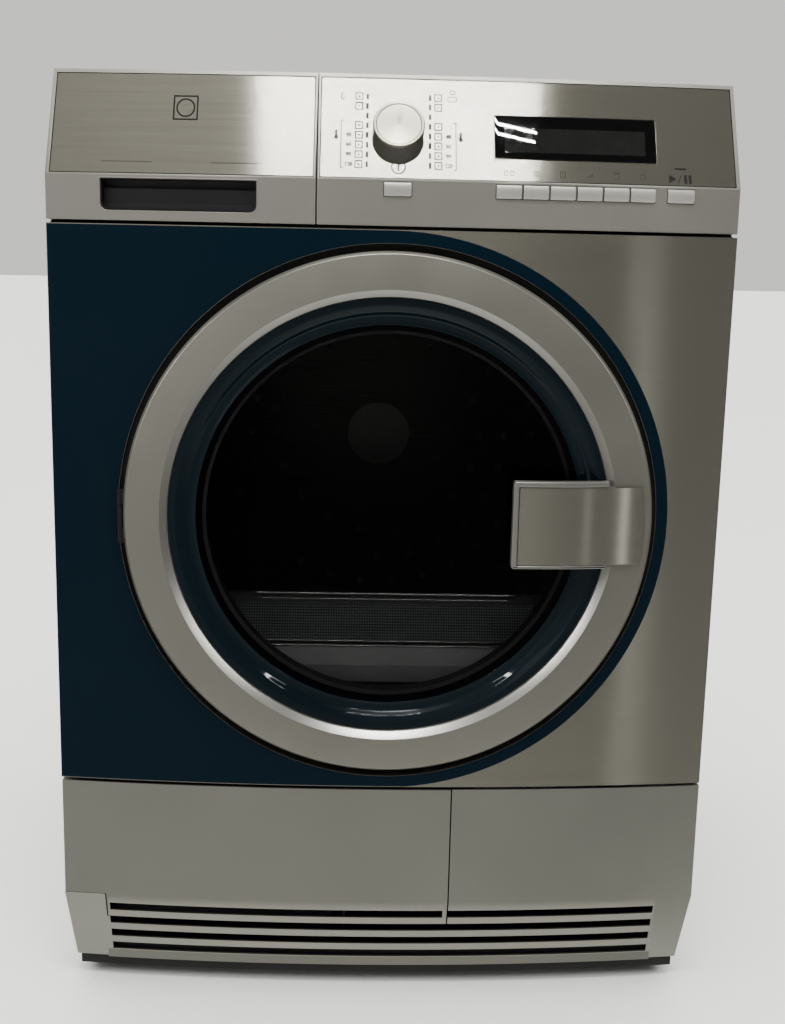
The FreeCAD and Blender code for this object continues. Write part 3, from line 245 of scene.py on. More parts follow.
def galvanised(name):
    """Zinc-coated sheet with its crystal pattern."""
    made = Finish(name, (0.55, 0.57, 0.58), 0.42, Metallic=0.9)
    crystals = made.node("TexVoronoi", Vector=made.object_place, Scale=130.0)
    crystals.feature = "F1"
    tone = made.node("SeparateColor", Color=crystals.outputs["Color"])
    grey = tone.outputs[0]
    made.shade(grey, (0.44, 0.46, 0.47), (0.62, 0.64, 0.65))
    made.roughness(grey, 0.34, 0.5, 0, 1)
    made.bump(made.noise(900), 0.01, 0.4)
    return made


def spun(name, color, dark, roughness):
    """Turned aluminium: fine rings about the piece's own Z, with a radial sheen."""
    made = Finish(name, color, roughness, Metallic=1.0, Anisotropic=0.8)
    parts = made.node("SeparateXYZ", Vector=made.object_place)
    flat = made.node("CombineXYZ", X=parts.outputs[0], Y=parts.outputs[1])
    length = made.node("VectorMath", Vector=flat.outputs[0])
    length.operation = "LENGTH"
    rings = made.node("TexNoise", Scale=1.0, Detail=2.0)
    rings.noise_dimensions = "1D"
    made.feed(rings.inputs["W"], made.combine("MULTIPLY", length.outputs["Value"], 2600.0))
    made.shade(made.spread(rings.outputs["Fac"], 0, 1), dark, color)
    made.bump(rings.outputs["Fac"], 0.012, 0.4)
    made.radial_tangent()
    return made


def ink(name, color):
    """Printed ink, a little uneven and without any gloss."""
    made = Finish(name, color, 0.6, Specular_IOR_Level=0.02)
    speckle = made.noise(1800, detail=3)
    made.shade(made.spread(speckle, 0, 1), color, tuple(part * 1.5 + 0.01 for part in color))
    return made


THREAD_SCALE = 1 / (2.4 * MM) / 3.2


def woven(name, thread, gap):
    """Fine filter cloth: two sets of threads, with dust that clouds it."""
    made = Finish(name, thread, 0.5, Specular_IOR_Level=0.3)
    weave = None
    for axis in ("X", "Z"):
        wave = made.node("TexWave", Vector=made.object_place, Scale=THREAD_SCALE, Distortion=0.4)
        wave.bands_direction = axis
        band = wave.outputs["Fac"]
        weave = band if weave is None else made.combine("MULTIPLY", weave, band)
    clouds = made.noise(30, (1, 1, 3), 4)
    dusty = made.combine("MULTIPLY", weave, made.combine("ADD", clouds, 0.4))
    made.shade(made.spread(dusty, 0, 1, 0.1, 0.6), gap, thread)
    made.bump(weave, 0.3, 0.6)
    return made


def tinted_glass(name):
    made = Finish(name, (0.0003, 0.0004, 0.0004), 0.03, Alpha=0.4, IOR=1.2)
    film = made.noise(5, detail=5)
    made.roughness(film, 0.02, 0.07)
    made.material.surface_render_method = "BLENDED"
    return made


def pane_glass(name, color, specular=0.3):
    """Dark polished window: a sharp mirror with a faint film of dust."""
    made = Finish(name, color, 0.01, Specular_IOR_Level=specular)
    dust = made.noise(60, detail=5, rough=0.7)
    made.roughness(dust, 0.004, 0.02)
    made.mottle(dust, color, 1, 1.3)
    return made


def glossy(name, color, roughness, coat, specular):
    """Piano-gloss plastic with faint swirls."""
    made = Finish(name, color, roughness, Coat_Weight=coat, Coat_Roughness=0.04,
                  Specular_IOR_Level=specular)
    swirls = made.noise(40, detail=5, rough=0.7)
    made.roughness(swirls, roughness * 0.7, roughness * 1.6)
    made.mottle(made.noise(8), color, 1, 1.25)
    made.bump(made.noise(90), 0.002, 0.15)
    return made


STEEL = (0.42, 0.405, 0.345)
STEEL_DARK = (0.365, 0.35, 0.295)
SILVER = (0.41, 0.40, 0.355)
NAVY = (0.0007, 0.0062, 0.0120)

finishes = {
    "worktop_laminate": moulded("worktop_laminate", (0.30, 0.295, 0.275), 0.42, 0.02, 2600, 0.03),
    "side_paint": painted("side_paint", (0.34, 0.335, 0.315), 0.38, 0.03, 900, 0.03),
    "galvanised_steel": galvanised("galvanised_steel"),
    "dark_plastic": moulded("dark_plastic", (0.014, 0.014, 0.015), 0.5),
    "foot_rubber": moulded("foot_rubber", (0.012, 0.012, 0.013), 0.75, 0.05, 900),
    "brushed_steel": brushed("brushed_steel", STEEL, STEEL_DARK, 0.185),
    "plinth_steel": satin_metal("plinth_steel", (0.44, 0.44, 0.39), 0.42, 0.93),
    "navy_film": painted("navy_film", NAVY, 0.32, 0.006, 1600, 0.06, Specular_IOR_Level=0.1),
    # Near-black: partly the bulkhead's own dark plastic, partly painted shade in the gap round the door ring
    # and inside the cabinet.
    "bulkhead_plastic": moulded("bulkhead_plastic", (0.010, 0.010, 0.011), 0.5),
    "silver_plastic": satin_metal("silver_plastic", SILVER, 0.42, 0.84),
    "display_glass": pane_glass("display_glass", (0.0014, 0.0014, 0.0015)),
    "board_laminate": moulded("board_laminate", (0.012, 0.09, 0.03), 0.5, 0.02, 1200),
    "knob_plastic": moulded("knob_plastic", (0.035, 0.033, 0.028), 0.42, 0.02, 2000),
    "spun_aluminium": spun("spun_aluminium", (0.40, 0.385, 0.31), (0.33, 0.315, 0.25), 0.32),
    "tank_plastic": moulded("tank_plastic", (0.52, 0.54, 0.55), 0.4, 0.02, 1000, 0.03),
    "light_plastic": moulded("light_plastic", (0.44, 0.45, 0.46), 0.45, 0.02, 1400, 0.04),
    "door_silver": satin_metal("door_silver", (0.375, 0.37, 0.32), 0.38, 0.92),
    "navy_gloss": glossy("navy_gloss", (0.0016, 0.0044, 0.0064), 0.04, 0.0, 0.34),
    "door_glass": tinted_glass("door_glass"),
    "hinge_steel": satin_metal("hinge_steel", (0.42, 0.42, 0.42), 0.3),
    # Near-black hinge steel: painted shade, so the hinge merges with the dark gap beside the ring.
    "blackened_steel": satin_metal("blackened_steel", (0.02, 0.02, 0.022), 0.4, 0.6),
    "handle_silver": satin_metal("handle_silver", (0.46, 0.455, 0.43), 0.32, 0.9),
    "seal_rubber": moulded("seal_rubber", (0.014, 0.014, 0.015), 0.6, 0.03, 900),
    "filter_plastic": moulded("filter_plastic", (0.045, 0.048, 0.048), 0.3, 0.01, 1500),
    # Dark steel for the drum: painted shade for the dim inside of the machine behind the door glass.
    "drum_steel": brushed("drum_steel", (0.17, 0.17, 0.165), (0.14, 0.14, 0.135), 0.28, 0.5),
    "lifter_plastic": moulded("lifter_plastic", (0.09, 0.095, 0.10), 0.4, 0.02, 1600),
    "bearing_bronze": satin_metal("bearing_bronze", (0.45, 0.28, 0.10), 0.35),
    "motor_steel": painted("motor_steel", (0.14, 0.145, 0.15), 0.45, 0.02, 900, 0.08, Metallic=0.7),
    "belt_rubber": moulded("belt_rubber", (0.011, 0.011, 0.011), 0.7, 0.05, 700),
    "condenser_aluminium": satin_metal("condenser_aluminium", (0.50, 0.51, 0.52), 0.38),
    "roller_plastic": moulded("roller_plastic", (0.06, 0.06, 0.062), 0.5, 0.02, 1400),
    "button_silver": satin_metal("button_silver", (0.62, 0.605, 0.56), 0.36, 0.75),
}
black_ink = ink("black_ink", (0.010, 0.010, 0.009))
grey_ink = ink("grey_ink", (0.025, 0.024, 0.021))
lcd = pane_glass("lcd_pane", (0.0078, 0.0083, 0.0074))
screw_zinc = satin_metal("screw_zinc", (0.55, 0.54, 0.49), 0.3)
# Lighter copy of the door's silver: a painted highlight on the ring's inner chamfer.
ring_chamfer_highlight = satin_metal("ring_chamfer_highlight", (0.50, 0.495, 0.46), 0.3, 0.95)
border_black = pane_glass("border_black", (0.0003, 0.0003, 0.0003), 0.08)
gap_black = moulded("gap_black", (0.003, 0.003, 0.003), 0.8)
screen_mesh = woven("screen_mesh", (0.17, 0.185, 0.185), (0.02, 0.022, 0.022))
rail_chrome = satin_metal("rail_chrome", (0.5, 0.5, 0.49), 0.16)
apron_grey = moulded("apron_grey", (0.2, 0.21, 0.205), 0.35, 0.01, 1500)


# ---------------------------------------------------------------- building blocks

def link(name, mesh):
    made = bpy.data.objects.new(name, mesh)
    bpy.context.scene.collection.objects.link(made)
    return made


def join_body(made, body, slot, finish, *replaced):
    """Give a piece its finish and its body, and hide the CAD nodes it stands for; the slot is not used."""
    made.data.materials.clear()
    made.data.materials.append(finish.material)
    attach(made, body)
    if replaced:
        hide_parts(*replaced)
    return made


def stand_for(made, node, finish=None):
    """A piece that takes over a CAD node's body and the finish of the node's slot, and hides the node."""
    slot = slot_of_node[node]
    return join_body(made, body_of_node[node], slot, finish or finishes[slot], node)


SHARP_ANGLE = 32
LATHE_STEPS = 192


def smooth(mesh, angle=SHARP_ANGLE):
    """Smooth shading, but for the edges sharper than an angle."""
    mesh.polygons.foreach_set("use_smooth", [True] * len(mesh.polygons))
    mesh.set_sharp_from_angle(angle=math.radians(angle))


def with_modifier(made, kind, **settings):
    """Apply one modifier straight away."""
    modifier = made.modifiers.new(kind.title(), kind)
    for key, value in settings.items():
        setattr(modifier, key, value)
    graph = bpy.context.evaluated_depsgraph_get()
    mesh = bpy.data.meshes.new_from_object(made.evaluated_get(graph))
    made.modifiers.clear()
    made.data = mesh
    return made


def solid(name, corners, faces):
    """A closed body from its corners, in millimetres, and its faces."""
    mesh = bpy.data.meshes.new(name)
    mesh.from_pydata([Vector(corner) * MM for corner in corners], [], faces)
    mesh.validate()
    shape = bmesh.new()
    shape.from_mesh(mesh)
    bmesh.ops.recalc_face_normals(shape, faces=shape.faces)
    shape.to_mesh(mesh)
    shape.free()
    smooth(mesh)
    return link(name, mesh)


def rounded(points, radius, steps=5):
    """A closed outline with its corners rounded; a point may bring its own radius third."""
    result = []
    count = len(points)
    for index, point in enumerate(points):
        here = Vector(point[:2])
        back = Vector(points[index - 1][:2]) - here
        ahead = Vector(points[(index + 1) % count][:2]) - here
        reach = point[2] if len(point) > 2 else radius
        turn = back.angle(ahead)
        cut = min(reach / math.tan(turn / 2), back.length * 0.49, ahead.length * 0.49)
        if cut < 1e-4 or turn > math.pi - 0.02:
            result.append(tuple(here))
            continue
        start = here + back.normalized() * cut
        stop = here + ahead.normalized() * cut
        for step in range(steps + 1):
            part = step / steps
            spot = start * (1 - part) ** 2 + here * 2 * part * (1 - part) + stop * part ** 2
            result.append(tuple(spot))
    return result


def rectangle(x, z):
    return [(x[0], z[0]), (x[1], z[0]), (x[1], z[1]), (x[0], z[1])]


def circle(x, z, radius, count=64, start=0.0, sweep=2 * math.pi):
    closed = abs(sweep - 2 * math.pi) < 1e-6
    total = count if closed else count - 1
    turns = [start + sweep * step / total for step in range(count)]
    return [(x + radius * math.cos(turn), z + radius * math.sin(turn)) for turn in turns]


def lathe(name, section, centre, along="y", count=LATHE_STEPS):
    """A ring or disc turned about an axis through a centre; the section is (radius, along)."""
    corners = []
    for step in range(count):
        turn = 2 * math.pi * step / count
        for radius, run in section:
            side, up = radius * math.cos(turn), radius * math.sin(turn)
            offset = (side, run, up) if along == "y" else (side, up, run)
            corners.append(Vector(centre) + Vector(offset))
    size = len(section)
    faces = []
    for step in range(count):
        here, ahead = step * size, (step + 1) % count * size
        for index in range(size):
            other = (index + 1) % size
            if section[index][0] < 1e-6 and section[other][0] < 1e-6:
                continue
            faces.append((here + index, here + other, ahead + other, ahead + index))
    made = solid(name, corners, faces)
    shape = bmesh.new()
    shape.from_mesh(made.data)
    bmesh.ops.remove_doubles(shape, verts=shape.verts, dist=1e-6)
    bmesh.ops.recalc_face_normals(shape, faces=shape.faces)
    shape.to_mesh(made.data)
    shape.free()
    smooth(made.data)
    return made


def plate(name, outlines, surface, thick, edge=0.0, pitch=12, pitch_up=None):
    """A plate with rounded edges whose outer face lies on a surface y = f(x, z).

    The first outline is the plate; outlines inside it are holes.
    """
    curve = bpy.data.curves.new(name, "CURVE")
    curve.dimensions = "2D"
    curve.fill_mode = "BOTH"
    curve.extrude = (thick / 2 - edge) * MM
    curve.bevel_depth = edge * MM
    curve.bevel_resolution = 2
    curve.offset = -edge * MM
    for outline in outlines:
        spline = curve.splines.new("POLY")
        spline.points.add(len(outline) - 1)
        spline.use_cyclic_u = True
        for point, (x, z) in zip(spline.points, outline):
            point.co = (x * MM, z * MM, 0, 1)
    flat = bpy.data.objects.new(name, curve)
    mesh = bpy.data.meshes.new_from_object(flat)
    bpy.data.objects.remove(flat)
    return bend(name, mesh, surface, thick, pitch, pitch_up)


def bend(name, mesh, surface, thick, pitch, pitch_up=None):
    """Lay a flat mesh (x, z, thickness) on a surface, cut into strips that follow its curve."""
    shape = bmesh.new()
    shape.from_mesh(mesh)
    bmesh.ops.remove_doubles(shape, verts=shape.verts, dist=1e-7)
    for axis, gap in ((0, pitch), (1, pitch_up)):
        if gap is None:
            continue
        low = min(vertex.co[axis] for vertex in shape.verts) / MM
        high = max(vertex.co[axis] for vertex in shape.verts) / MM
        normal = Vector((1, 0, 0)) if axis == 0 else Vector((0, 1, 0))
        for step in range(math.floor(low / gap) + 1, math.ceil(high / gap)):
            everything = shape.verts[:] + shape.edges[:] + shape.faces[:]
            spot = normal * step * gap * MM
            bmesh.ops.bisect_plane(shape, geom=everything, plane_co=spot, plane_no=normal)
    for vertex in shape.verts:
        x, z, out = (part / MM for part in vertex.co)
        vertex.co = Vector((x, surface(x, z) + thick / 2 - out, z)) * MM
    shape.to_mesh(mesh)
    shape.free()
    smooth(mesh)
    return with_modifier(link(name, mesh), "WEIGHTED_NORMAL", keep_sharp=True, weight=100)


def softened(node, width):
    """A CAD node's shape with its sharp edges rounded, so that they catch the light."""
    mesh = nodes[node].data.copy()
    if "custom_normal" in mesh.attributes:
        mesh.attributes.remove(mesh.attributes["custom_normal"])
    shape = bmesh.new()
    shape.from_mesh(mesh)
    bmesh.ops.remove_doubles(shape, verts=shape.verts, dist=2e-6)
    bmesh.ops.dissolve_limit(
        shape, angle_limit=math.radians(0.4), verts=shape.verts, edges=shape.edges)
    shape.to_mesh(mesh)
    shape.free()
    made = link(f"{node}_finished", mesh)
    with_modifier(made, "BEVEL", width=width * MM, segments=2, limit_method="ANGLE",
                  angle_limit=math.radians(30), use_clamp_overlap=True)
    smooth(made.data, 38)
    with_modifier(made, "WEIGHTED_NORMAL", keep_sharp=True, weight=100)
    return stand_for(made, node)


def rear_screw(name, place, radius):
    """Pan-head cross screw seated on the cabinet's rear, facing backward."""
    section = [(0, 2.2), (radius * 0.45, 2.1), (radius * 0.8, 1.6),
               (radius, 0.7), (radius, -0.4), (0, -0.4)]
    made = lathe(name, section, (0, 0, 0), "z", 32)
    shape = bmesh.new()
    shape.from_mesh(made.data)
    for vertex in shape.verts:
        x, y, z = (part / MM for part in vertex.co)
        in_cross = min(abs(x), abs(y)) < 0.105 * radius and math.hypot(x, y) < radius * 0.6
        if z > 0.5 and in_cross:
            vertex.co.z -= 1.1 * MM
    shape.to_mesh(made.data)
    shape.free()
    made.matrix_world = (Matrix.Translation(Vector(place) * MM)
                         @ Vector((0, 1, 0)).to_track_quat("Z", "Y").to_matrix().to_4x4())
    return join_body(made, "cabinet", "hinge_steel", screw_zinc)


# ---------------------------------------------------------------- CAD nodes that stay

for node, thing in nodes.items():
    thing.material_slots[0].material = finishes[slot_of_node[node]].material


# ---------------------------------------------------------------- door

def door_section(points, radius=0.6):
    """A section of the door, its second number the depth behind the panel's edges."""
    return [(r, at(depth)) for r, depth in rounded(points, radius)]


def door_piece(name, points, radius=0.6, count=256):
    return lathe(name, door_section(points, radius), (0, 0, DOOR_Z), "y", count)


door_ring = stand_for(door_piece("door_ring_turned", [
    (DOOR_RADIUS, -8), (DOOR_RADIUS, -18, 1.5), (DOOR_RADIUS - 2.5, -21.6, 1.5),
    (RING_INNER + 6.6, -26.6, 0.5), (RING_INNER + 0.6, -21.1, 0.6), (RING_INNER, -19.5, 0.5),
    (RING_INNER, -8), (RING_INNER + 3, -8, 0.2), (RING_INNER + 3, -19.6), (RING_INNER + 5.4, -22.2),
    (DOOR_RADIUS - 3, -17.6), (DOOR_RADIUS - 3, -8, 0.2)]), "door_ring")

inner_ring = stand_for(door_piece("door_inner_ring_turned", [
    (RING_INNER - 0.3, -18.6, 0.1), (RING_INNER - 6.5, -18.4, 5), (RING_INNER - 12, -15.4, 4),
    (RING_INNER - 15.6, -11.6, 3), (WINDOW_RADIUS + 3, -10.7, 2), (WINDOW_RADIUS, -11.3, 0.6),
    (WINDOW_RADIUS, -8.9, 0.3), (RING_INNER - 0.3, -8.9)]), "door_inner_ring")


def second_finish(made, finish, wanted):
    """Give the faces that a test picks a second material; the test gets radius and depth."""
    made.data.materials.append(finish.material)
    for polygon in made.data.polygons:
        x, y, z = polygon.center / MM
        if wanted(math.hypot(x, z - DOOR_Z), y - EDGE_Y):
            polygon.material_index = 1


bowl_front = [(0, 8), (60, 6.8), (120, 2.8), (150, -1.6), (166, -6.1), (174.4, -8.4)]
bowl_back = [(174.4, -4.9), (166, -2.6), (150, 2.2), (120, 6.5), (60, 10.7), (0, 11.9)]
glass_bowl = stand_for(door_piece("door_glass_bowl", bowl_front + bowl_back, 6, 192), "door_glass")
# The bowl has a printed black border; the ring's inner chamfer gets a lighter copy of the ring's silver, a
# painted highlight.
BORDER_RADIUS = 165
CHAMFER_RADIUS = RING_INNER + 6.3
CHAMFER_DEPTH = -19
second_finish(glass_bowl, border_black, lambda radius, depth: radius > BORDER_RADIUS)
second_finish(door_ring, ring_chamfer_highlight, lambda radius, depth: radius < CHAMFER_RADIUS and depth < CHAMFER_DEPTH)
stand_for(door_piece("door_seal_lip", [
    (183.2, 1.9), (183.1, -2.5, 1.5), (185.2, -4.1, 1.5), (189.8, -4.1, 1.5), (191.8, -2.5, 1.5),
    (191.8, 1.9)]), "door_seal")


# ---------------------------------------------------------------- door handle

HANDLE_LEFT = 107
HANDLE_RIGHT = 226.5
handle_low, handle_high = node_box("handle_frame")


def handle_y(x, ends, thick=0.0):
    """The handle's curve in plan, between two end depths."""
    part = (x - HANDLE_LEFT) / (HANDLE_RIGHT - HANDLE_LEFT)
    return at(ends[0] + 0.2 + (ends[1] - ends[0]) * part - 18 * part * (1 - part) + thick)


def handle_end(radius, z):
    """X of a circle about the door's centre, at a height."""
    return math.sqrt(radius ** 2 - (z - DOOR_Z) ** 2)


def right_arc(radius, low, high, count=9):
    heights = [low + (high - low) * step / (count - 1) for step in range(count)]
    return [(handle_end(radius, z), z) for z in heights]


plate_low, plate_high = handle_low.z + 5.4, handle_high.z - 5.4
handle_steel = brushed("brushed_steel_handle", STEEL, STEEL_DARK, 0.2)
FACE_LEFT = 112.9
FACE_END = 226.2
FACE_DEPTHS = (-36.6, -24.2)
face = [(FACE_LEFT, plate_low, 1.2), *right_arc(FACE_END, plate_low, plate_high),
        (FACE_LEFT, plate_high, 1.2)]
handle_face = plate("handle_face", [rounded(face, 0.3)], lambda x, z: handle_y(x, FACE_DEPTHS), 1.2, 0.35, 3)
stand_for(handle_face, "handle_plate", handle_steel)


CARRIER_DEPTHS = (-38, -23.4)


def carrier_at(depth):
    """The carrier's surface, some way behind the curve of its rim."""
    return lambda x, z: handle_y(x, CARRIER_DEPTHS, depth)


CARRIER_LOW = handle_low.z + 2.2
CARRIER_HIGH = handle_high.z - 0.2
CARRIER_END = 195.8
CARRIER_LEFT = 107.3
MOUTH_LEFT = 112.3
FOOT_LEFT = 150
FOOT_END = 225.3
mouth_low, mouth_high = plate_low - 0.6, plate_high + 0.6
foot_low, foot_high = plate_low + 0.4, plate_high - 0.4
carrier = [(CARRIER_LEFT, CARRIER_LOW, 3.2), *right_arc(CARRIER_END, CARRIER_LOW, CARRIER_HIGH),
           (CARRIER_LEFT, CARRIER_HIGH, 3.2)]
mouth = [(MOUTH_LEFT, mouth_low, 1.2), *right_arc(CARRIER_END - 0.8, mouth_low, mouth_high),
         (MOUTH_LEFT, mouth_high, 1.2)]
foot = [(FOOT_LEFT, foot_low), *right_arc(FOOT_END, foot_low, foot_high), (FOOT_LEFT, foot_high)]
stand_for(plate("handle_rim", [rounded(carrier, 0.3), rounded(mouth, 0.3)], carrier_at(0), 6.4, 0.8, 4),
          "handle_frame")
for name, outline, depth, thick in (("handle_back", carrier, 6.2, 2.6), ("handle_foot", foot, 3.2, 4.0)):
    join_body(plate(name, [rounded(outline, 0.3)], carrier_at(depth), thick, 0.3, 4), "door",
              slot_of_node["handle_frame"], finishes["handle_silver"])


# ---------------------------------------------------------------- control panel

DRAWER_SEAM = node_box("drawer_front")[1].x
CONTROL_LEFT = node_box("control_housing")[0].x
fascia_low, fascia_high = node_box("control_fascia")
drawer_plate_low, drawer_plate_high = node_box("drawer_fascia")
display_low, display_high = node_box("display_window")
knob_low, knob_high = node_box("programme_knob")
KNOB_X = (knob_low.x + knob_high.x) / 2
KNOB_Z = 791.3
PLATE_OUT = 0.3


def inset(x, z, by):
    """A rectangle's sides, moved inward."""
    return rectangle((x[0] + by, x[1] - by), (z[0] + by, z[1] - by))


def fascia_plate(name, x, z, body, holes=()):
    """Brushed plate, and the dark joint that shows all round it."""
    joint = plate(f"{name}_joint", [rounded(inset(x, z, -0.3), 1.0), rounded(inset(x, z, 1.2), 0.8)],
                  lambda u, v: fascia_at(u, v) + PLATE_OUT + 0.12, 0.4)
    join_body(joint, body, "dark_plastic", gap_black)
    outline = rounded(inset(x, z, 0.55), 0.8)
    return plate(name, [outline, *holes], lambda u, v: fascia_at(u, v) + PLATE_OUT, 0.8, 0.15)


def node_outline(low, high, radius, room=0.0):
    """The rounded front outline of a node's box, with some room round it."""
    return rounded(inset((low.x, high.x), (low.z, high.z), -room), radius)


CLEARANCE = 0.35
SHAFT_RADIUS = 4.5
window = node_outline(display_low, display_high, 1.2, CLEARANCE)
shaft = circle(KNOB_X, KNOB_Z, SHAFT_RADIUS, 32)
control_plate = stand_for(
    fascia_plate("control_fascia_plate", (fascia_low.x, fascia_high.x), (fascia_low.z, fascia_high.z),
                 "cabinet", (window, shaft)), "control_fascia")
stand_for(fascia_plate("drawer_fascia_plate", (drawer_plate_low.x, drawer_plate_high.x),
                       (drawer_plate_low.z, drawer_plate_high.z), "drawer"), "drawer_fascia")

pane = node_outline(display_low, display_high, 1.2)
stand_for(plate("display_pane", [pane], lambda u, v: fascia_at(u, v) - 0.45, 1.4, 0.4, 3), "display_window")
LCD_X = (92.8, 215.0)
LCD_Z = (785.0, 806.0)
lcd_pane = plate(
    "display_lcd", [rounded(rectangle(LCD_X, LCD_Z), 0.6)], lambda u, v: fascia_at(u, v) - 0.5, 0.3, 0, 3)
join_body(lcd_pane, "cabinet", "display_glass", lcd)

softened("control_housing", 0.5)
softened("drawer_front", 0.5)
STRIP_LOW = node_box("drawer_front")[0].z
button_nodes = sorted(
    node for node in nodes if node.endswith("_button") or node.startswith("option_button"))


def button_opening(first, last):
    """Outline of the opening that a button, or a row of them, sits in."""
    return node_outline(node_box(first)[0], node_box(last)[1], 0.9, CLEARANCE)


def strip_skin(name, x, holes, body):
    """Lacquered face of the upright strip."""
    outline = rounded(rectangle((x[0] + 0.6, x[1] - 0.6), (STRIP_LOW + 0.6, KINK - 0.4)), 0.3)
    made = plate(name, [outline, *holes], lambda u, v: strip_at(u) - 0.06, 0.3)
    return join_body(made, body, "silver_plastic", finishes["silver_plastic"])


openings = [
    button_opening("power_button", "power_button"), button_opening("option_button_1", "option_button_6"),
    button_opening("start_button", "start_button")]
strip_skin("control_strip", (CONTROL_LEFT, HALF), openings, "cabinet")

GRIP_X = (-251.5, -116.8)
GRIP_Z = (728.4, 756.6)


def grip_outline(by):
    """Mouth of the drawer's grip, drawn in by a distance; only its lower corners are rounded."""
    left, right, low, high = GRIP_X[0] + by, GRIP_X[1] - by, GRIP_Z[0] + by, GRIP_Z[1] - by
    return rounded([(left, low, 7), (right, low, 7), (right, high, 0.8), (left, high, 0.8)], 1, 7)


strip_skin("drawer_strip", (-HALF, DRAWER_SEAM), [grip_outline(0.1)], "drawer")
grip_lip = plate(
    "grip_lip", [grip_outline(-0.2), grip_outline(0.8)], lambda u, v: strip_at(u) - 0.3, 2.0, 0.35)
join_body(grip_lip, "drawer", "silver_plastic", finishes["silver_plastic"])
GRIP_DEPTH = 20
for name, outlines, depth, thick in (
        ("grip_liner", [grip_outline(0.6), grip_outline(1.6)], 0.9, GRIP_DEPTH),
        ("grip_back", [grip_outline(0.7)], GRIP_DEPTH - 1, 1.0)):
    made = plate(name, outlines, lambda u, v, depth=depth: strip_at(u) + depth, thick)
    join_body(made, "drawer", "dark_plastic", finishes["dark_plastic"])
finger_rail = rounded(rectangle((GRIP_X[0] + 1.4, GRIP_X[1] - 1.4), (GRIP_Z[0] + 1.4, 748.6)), 1.0)
join_body(plate("grip_rail", [finger_rail], lambda u, v: strip_at(u) + 11, 8, 0.9), "drawer", "dark_plastic",
          finishes["dark_plastic"])


MARK_PROUD = 0.06
MARK_THICK = 0.1
MARK_PITCH = 24


def mark_at(x, z):
    """Y of the outer face of a mark printed on the fascia."""
    return fascia_at(x, z) + PLATE_OUT - MARK_PROUD


def marks(name, outlines, finish):
    """Printed marks: thin flat shapes that lie on the fascia."""
    made = plate(name, outlines, mark_at, MARK_THICK, 0.0, MARK_PITCH)
    return join_body(made, "cabinet", slot_of_node["control_fascia"], finish)


def frame_mark(x, z, half_width, half_height, line=0.9, radius=1.0):
    """Two outlines that leave a thin rounded frame."""
    sides = (x - half_width, x + half_width), (z - half_height, z + half_height)
    return [rounded(rectangle(*sides), radius), rounded(inset(*sides, line), max(0.2, radius - line))]


def bar_mark(x, z, half_width, half_height):
    return [rectangle((x - half_width, x + half_width), (z - half_height, z + half_height))]


def bracket_mark(x, low, high, reach, line=0.8):
    """An upright line with a short foot at each end, as one outline."""
    inner = x + math.copysign(line, reach)
    return [(x, low), (x + reach, low), (x + reach, low + line), (inner, low + line),
            (inner, high - line), (x + reach, high - line), (x + reach, high), (x, high)]


DIAL_X = 1.9
TICK_TOP = 830.1
TICK_PITCH = 8.36
ROWS = range(8)
SQUARE_ROWS = (0, 1, 3, 4, 5, 6, 7)
NUMBER_ROWS = {4: "40", 5: "60", 6: "90", 7: "120"}
TICK_OUT = 26.8
SQUARE_OUT = 33.9
NUMBER_OUT = 42.6
BRACKET_OUT = 49.4
DROP_OUT = 53.2

ticks = []
squares = []
lines = []
for side in (-1, 1):
    for row in ROWS:
        z = TICK_TOP - row * TICK_PITCH
        ticks += bar_mark(DIAL_X + side * TICK_OUT, z, 1.05, 2.4)
        if row in SQUARE_ROWS:
            squares += frame_mark(DIAL_X + side * SQUARE_OUT, z, 3.4, 3.4)
            squares.append(circle(DIAL_X + side * SQUARE_OUT, z, 0.8, 12))
    top = TICK_TOP - 2.5 * TICK_PITCH
    low = TICK_TOP - 7.45 * TICK_PITCH
    lines.append(bracket_mark(DIAL_X + side * BRACKET_OUT, low, top, -side * 2.4))
marks("dial_ticks", ticks, black_ink)
marks("dial_squares", squares, black_ink)
marks("dial_brackets", lines, black_ink)


def drop_mark(x, z):
    """A small thermometer: a stem that opens into a bulb, as one outline."""
    bulb = circle(x, z - 2.2, 1.8, 20, math.radians(120), math.radians(300))
    return [[(x + 0.9, z + 3.6), (x, z + 4.4), (x - 0.9, z + 3.6), *bulb]]


def ring_mark(x, z, radius, line=0.7):
    return [circle(x, z, radius, 48), circle(x, z, radius - line, 48)]


symbols = []
for side in (-1, 1):
    symbols += drop_mark(DIAL_X + side * DROP_OUT, 796.6)
symbols += frame_mark(DIAL_X - 48.3, TICK_TOP - 0.2, 1.4, 2.9, 0.6, 0.6)
symbols += frame_mark(DIAL_X + 45.8, TICK_TOP - 0.8, 4.0, 2.4, 0.6, 1.8)
symbols += frame_mark(DIAL_X + 46.2, TICK_TOP + 5.2, 2.4, 1.8, 0.6, 0.7)
marks("dial_symbols", symbols, black_ink)

OFF_Z = 770.0
marks("off_symbol", ring_mark(DIAL_X, OFF_Z, 6.3, 1.1) + bar_mark(DIAL_X, OFF_Z, 0.7, 3.6), black_ink)


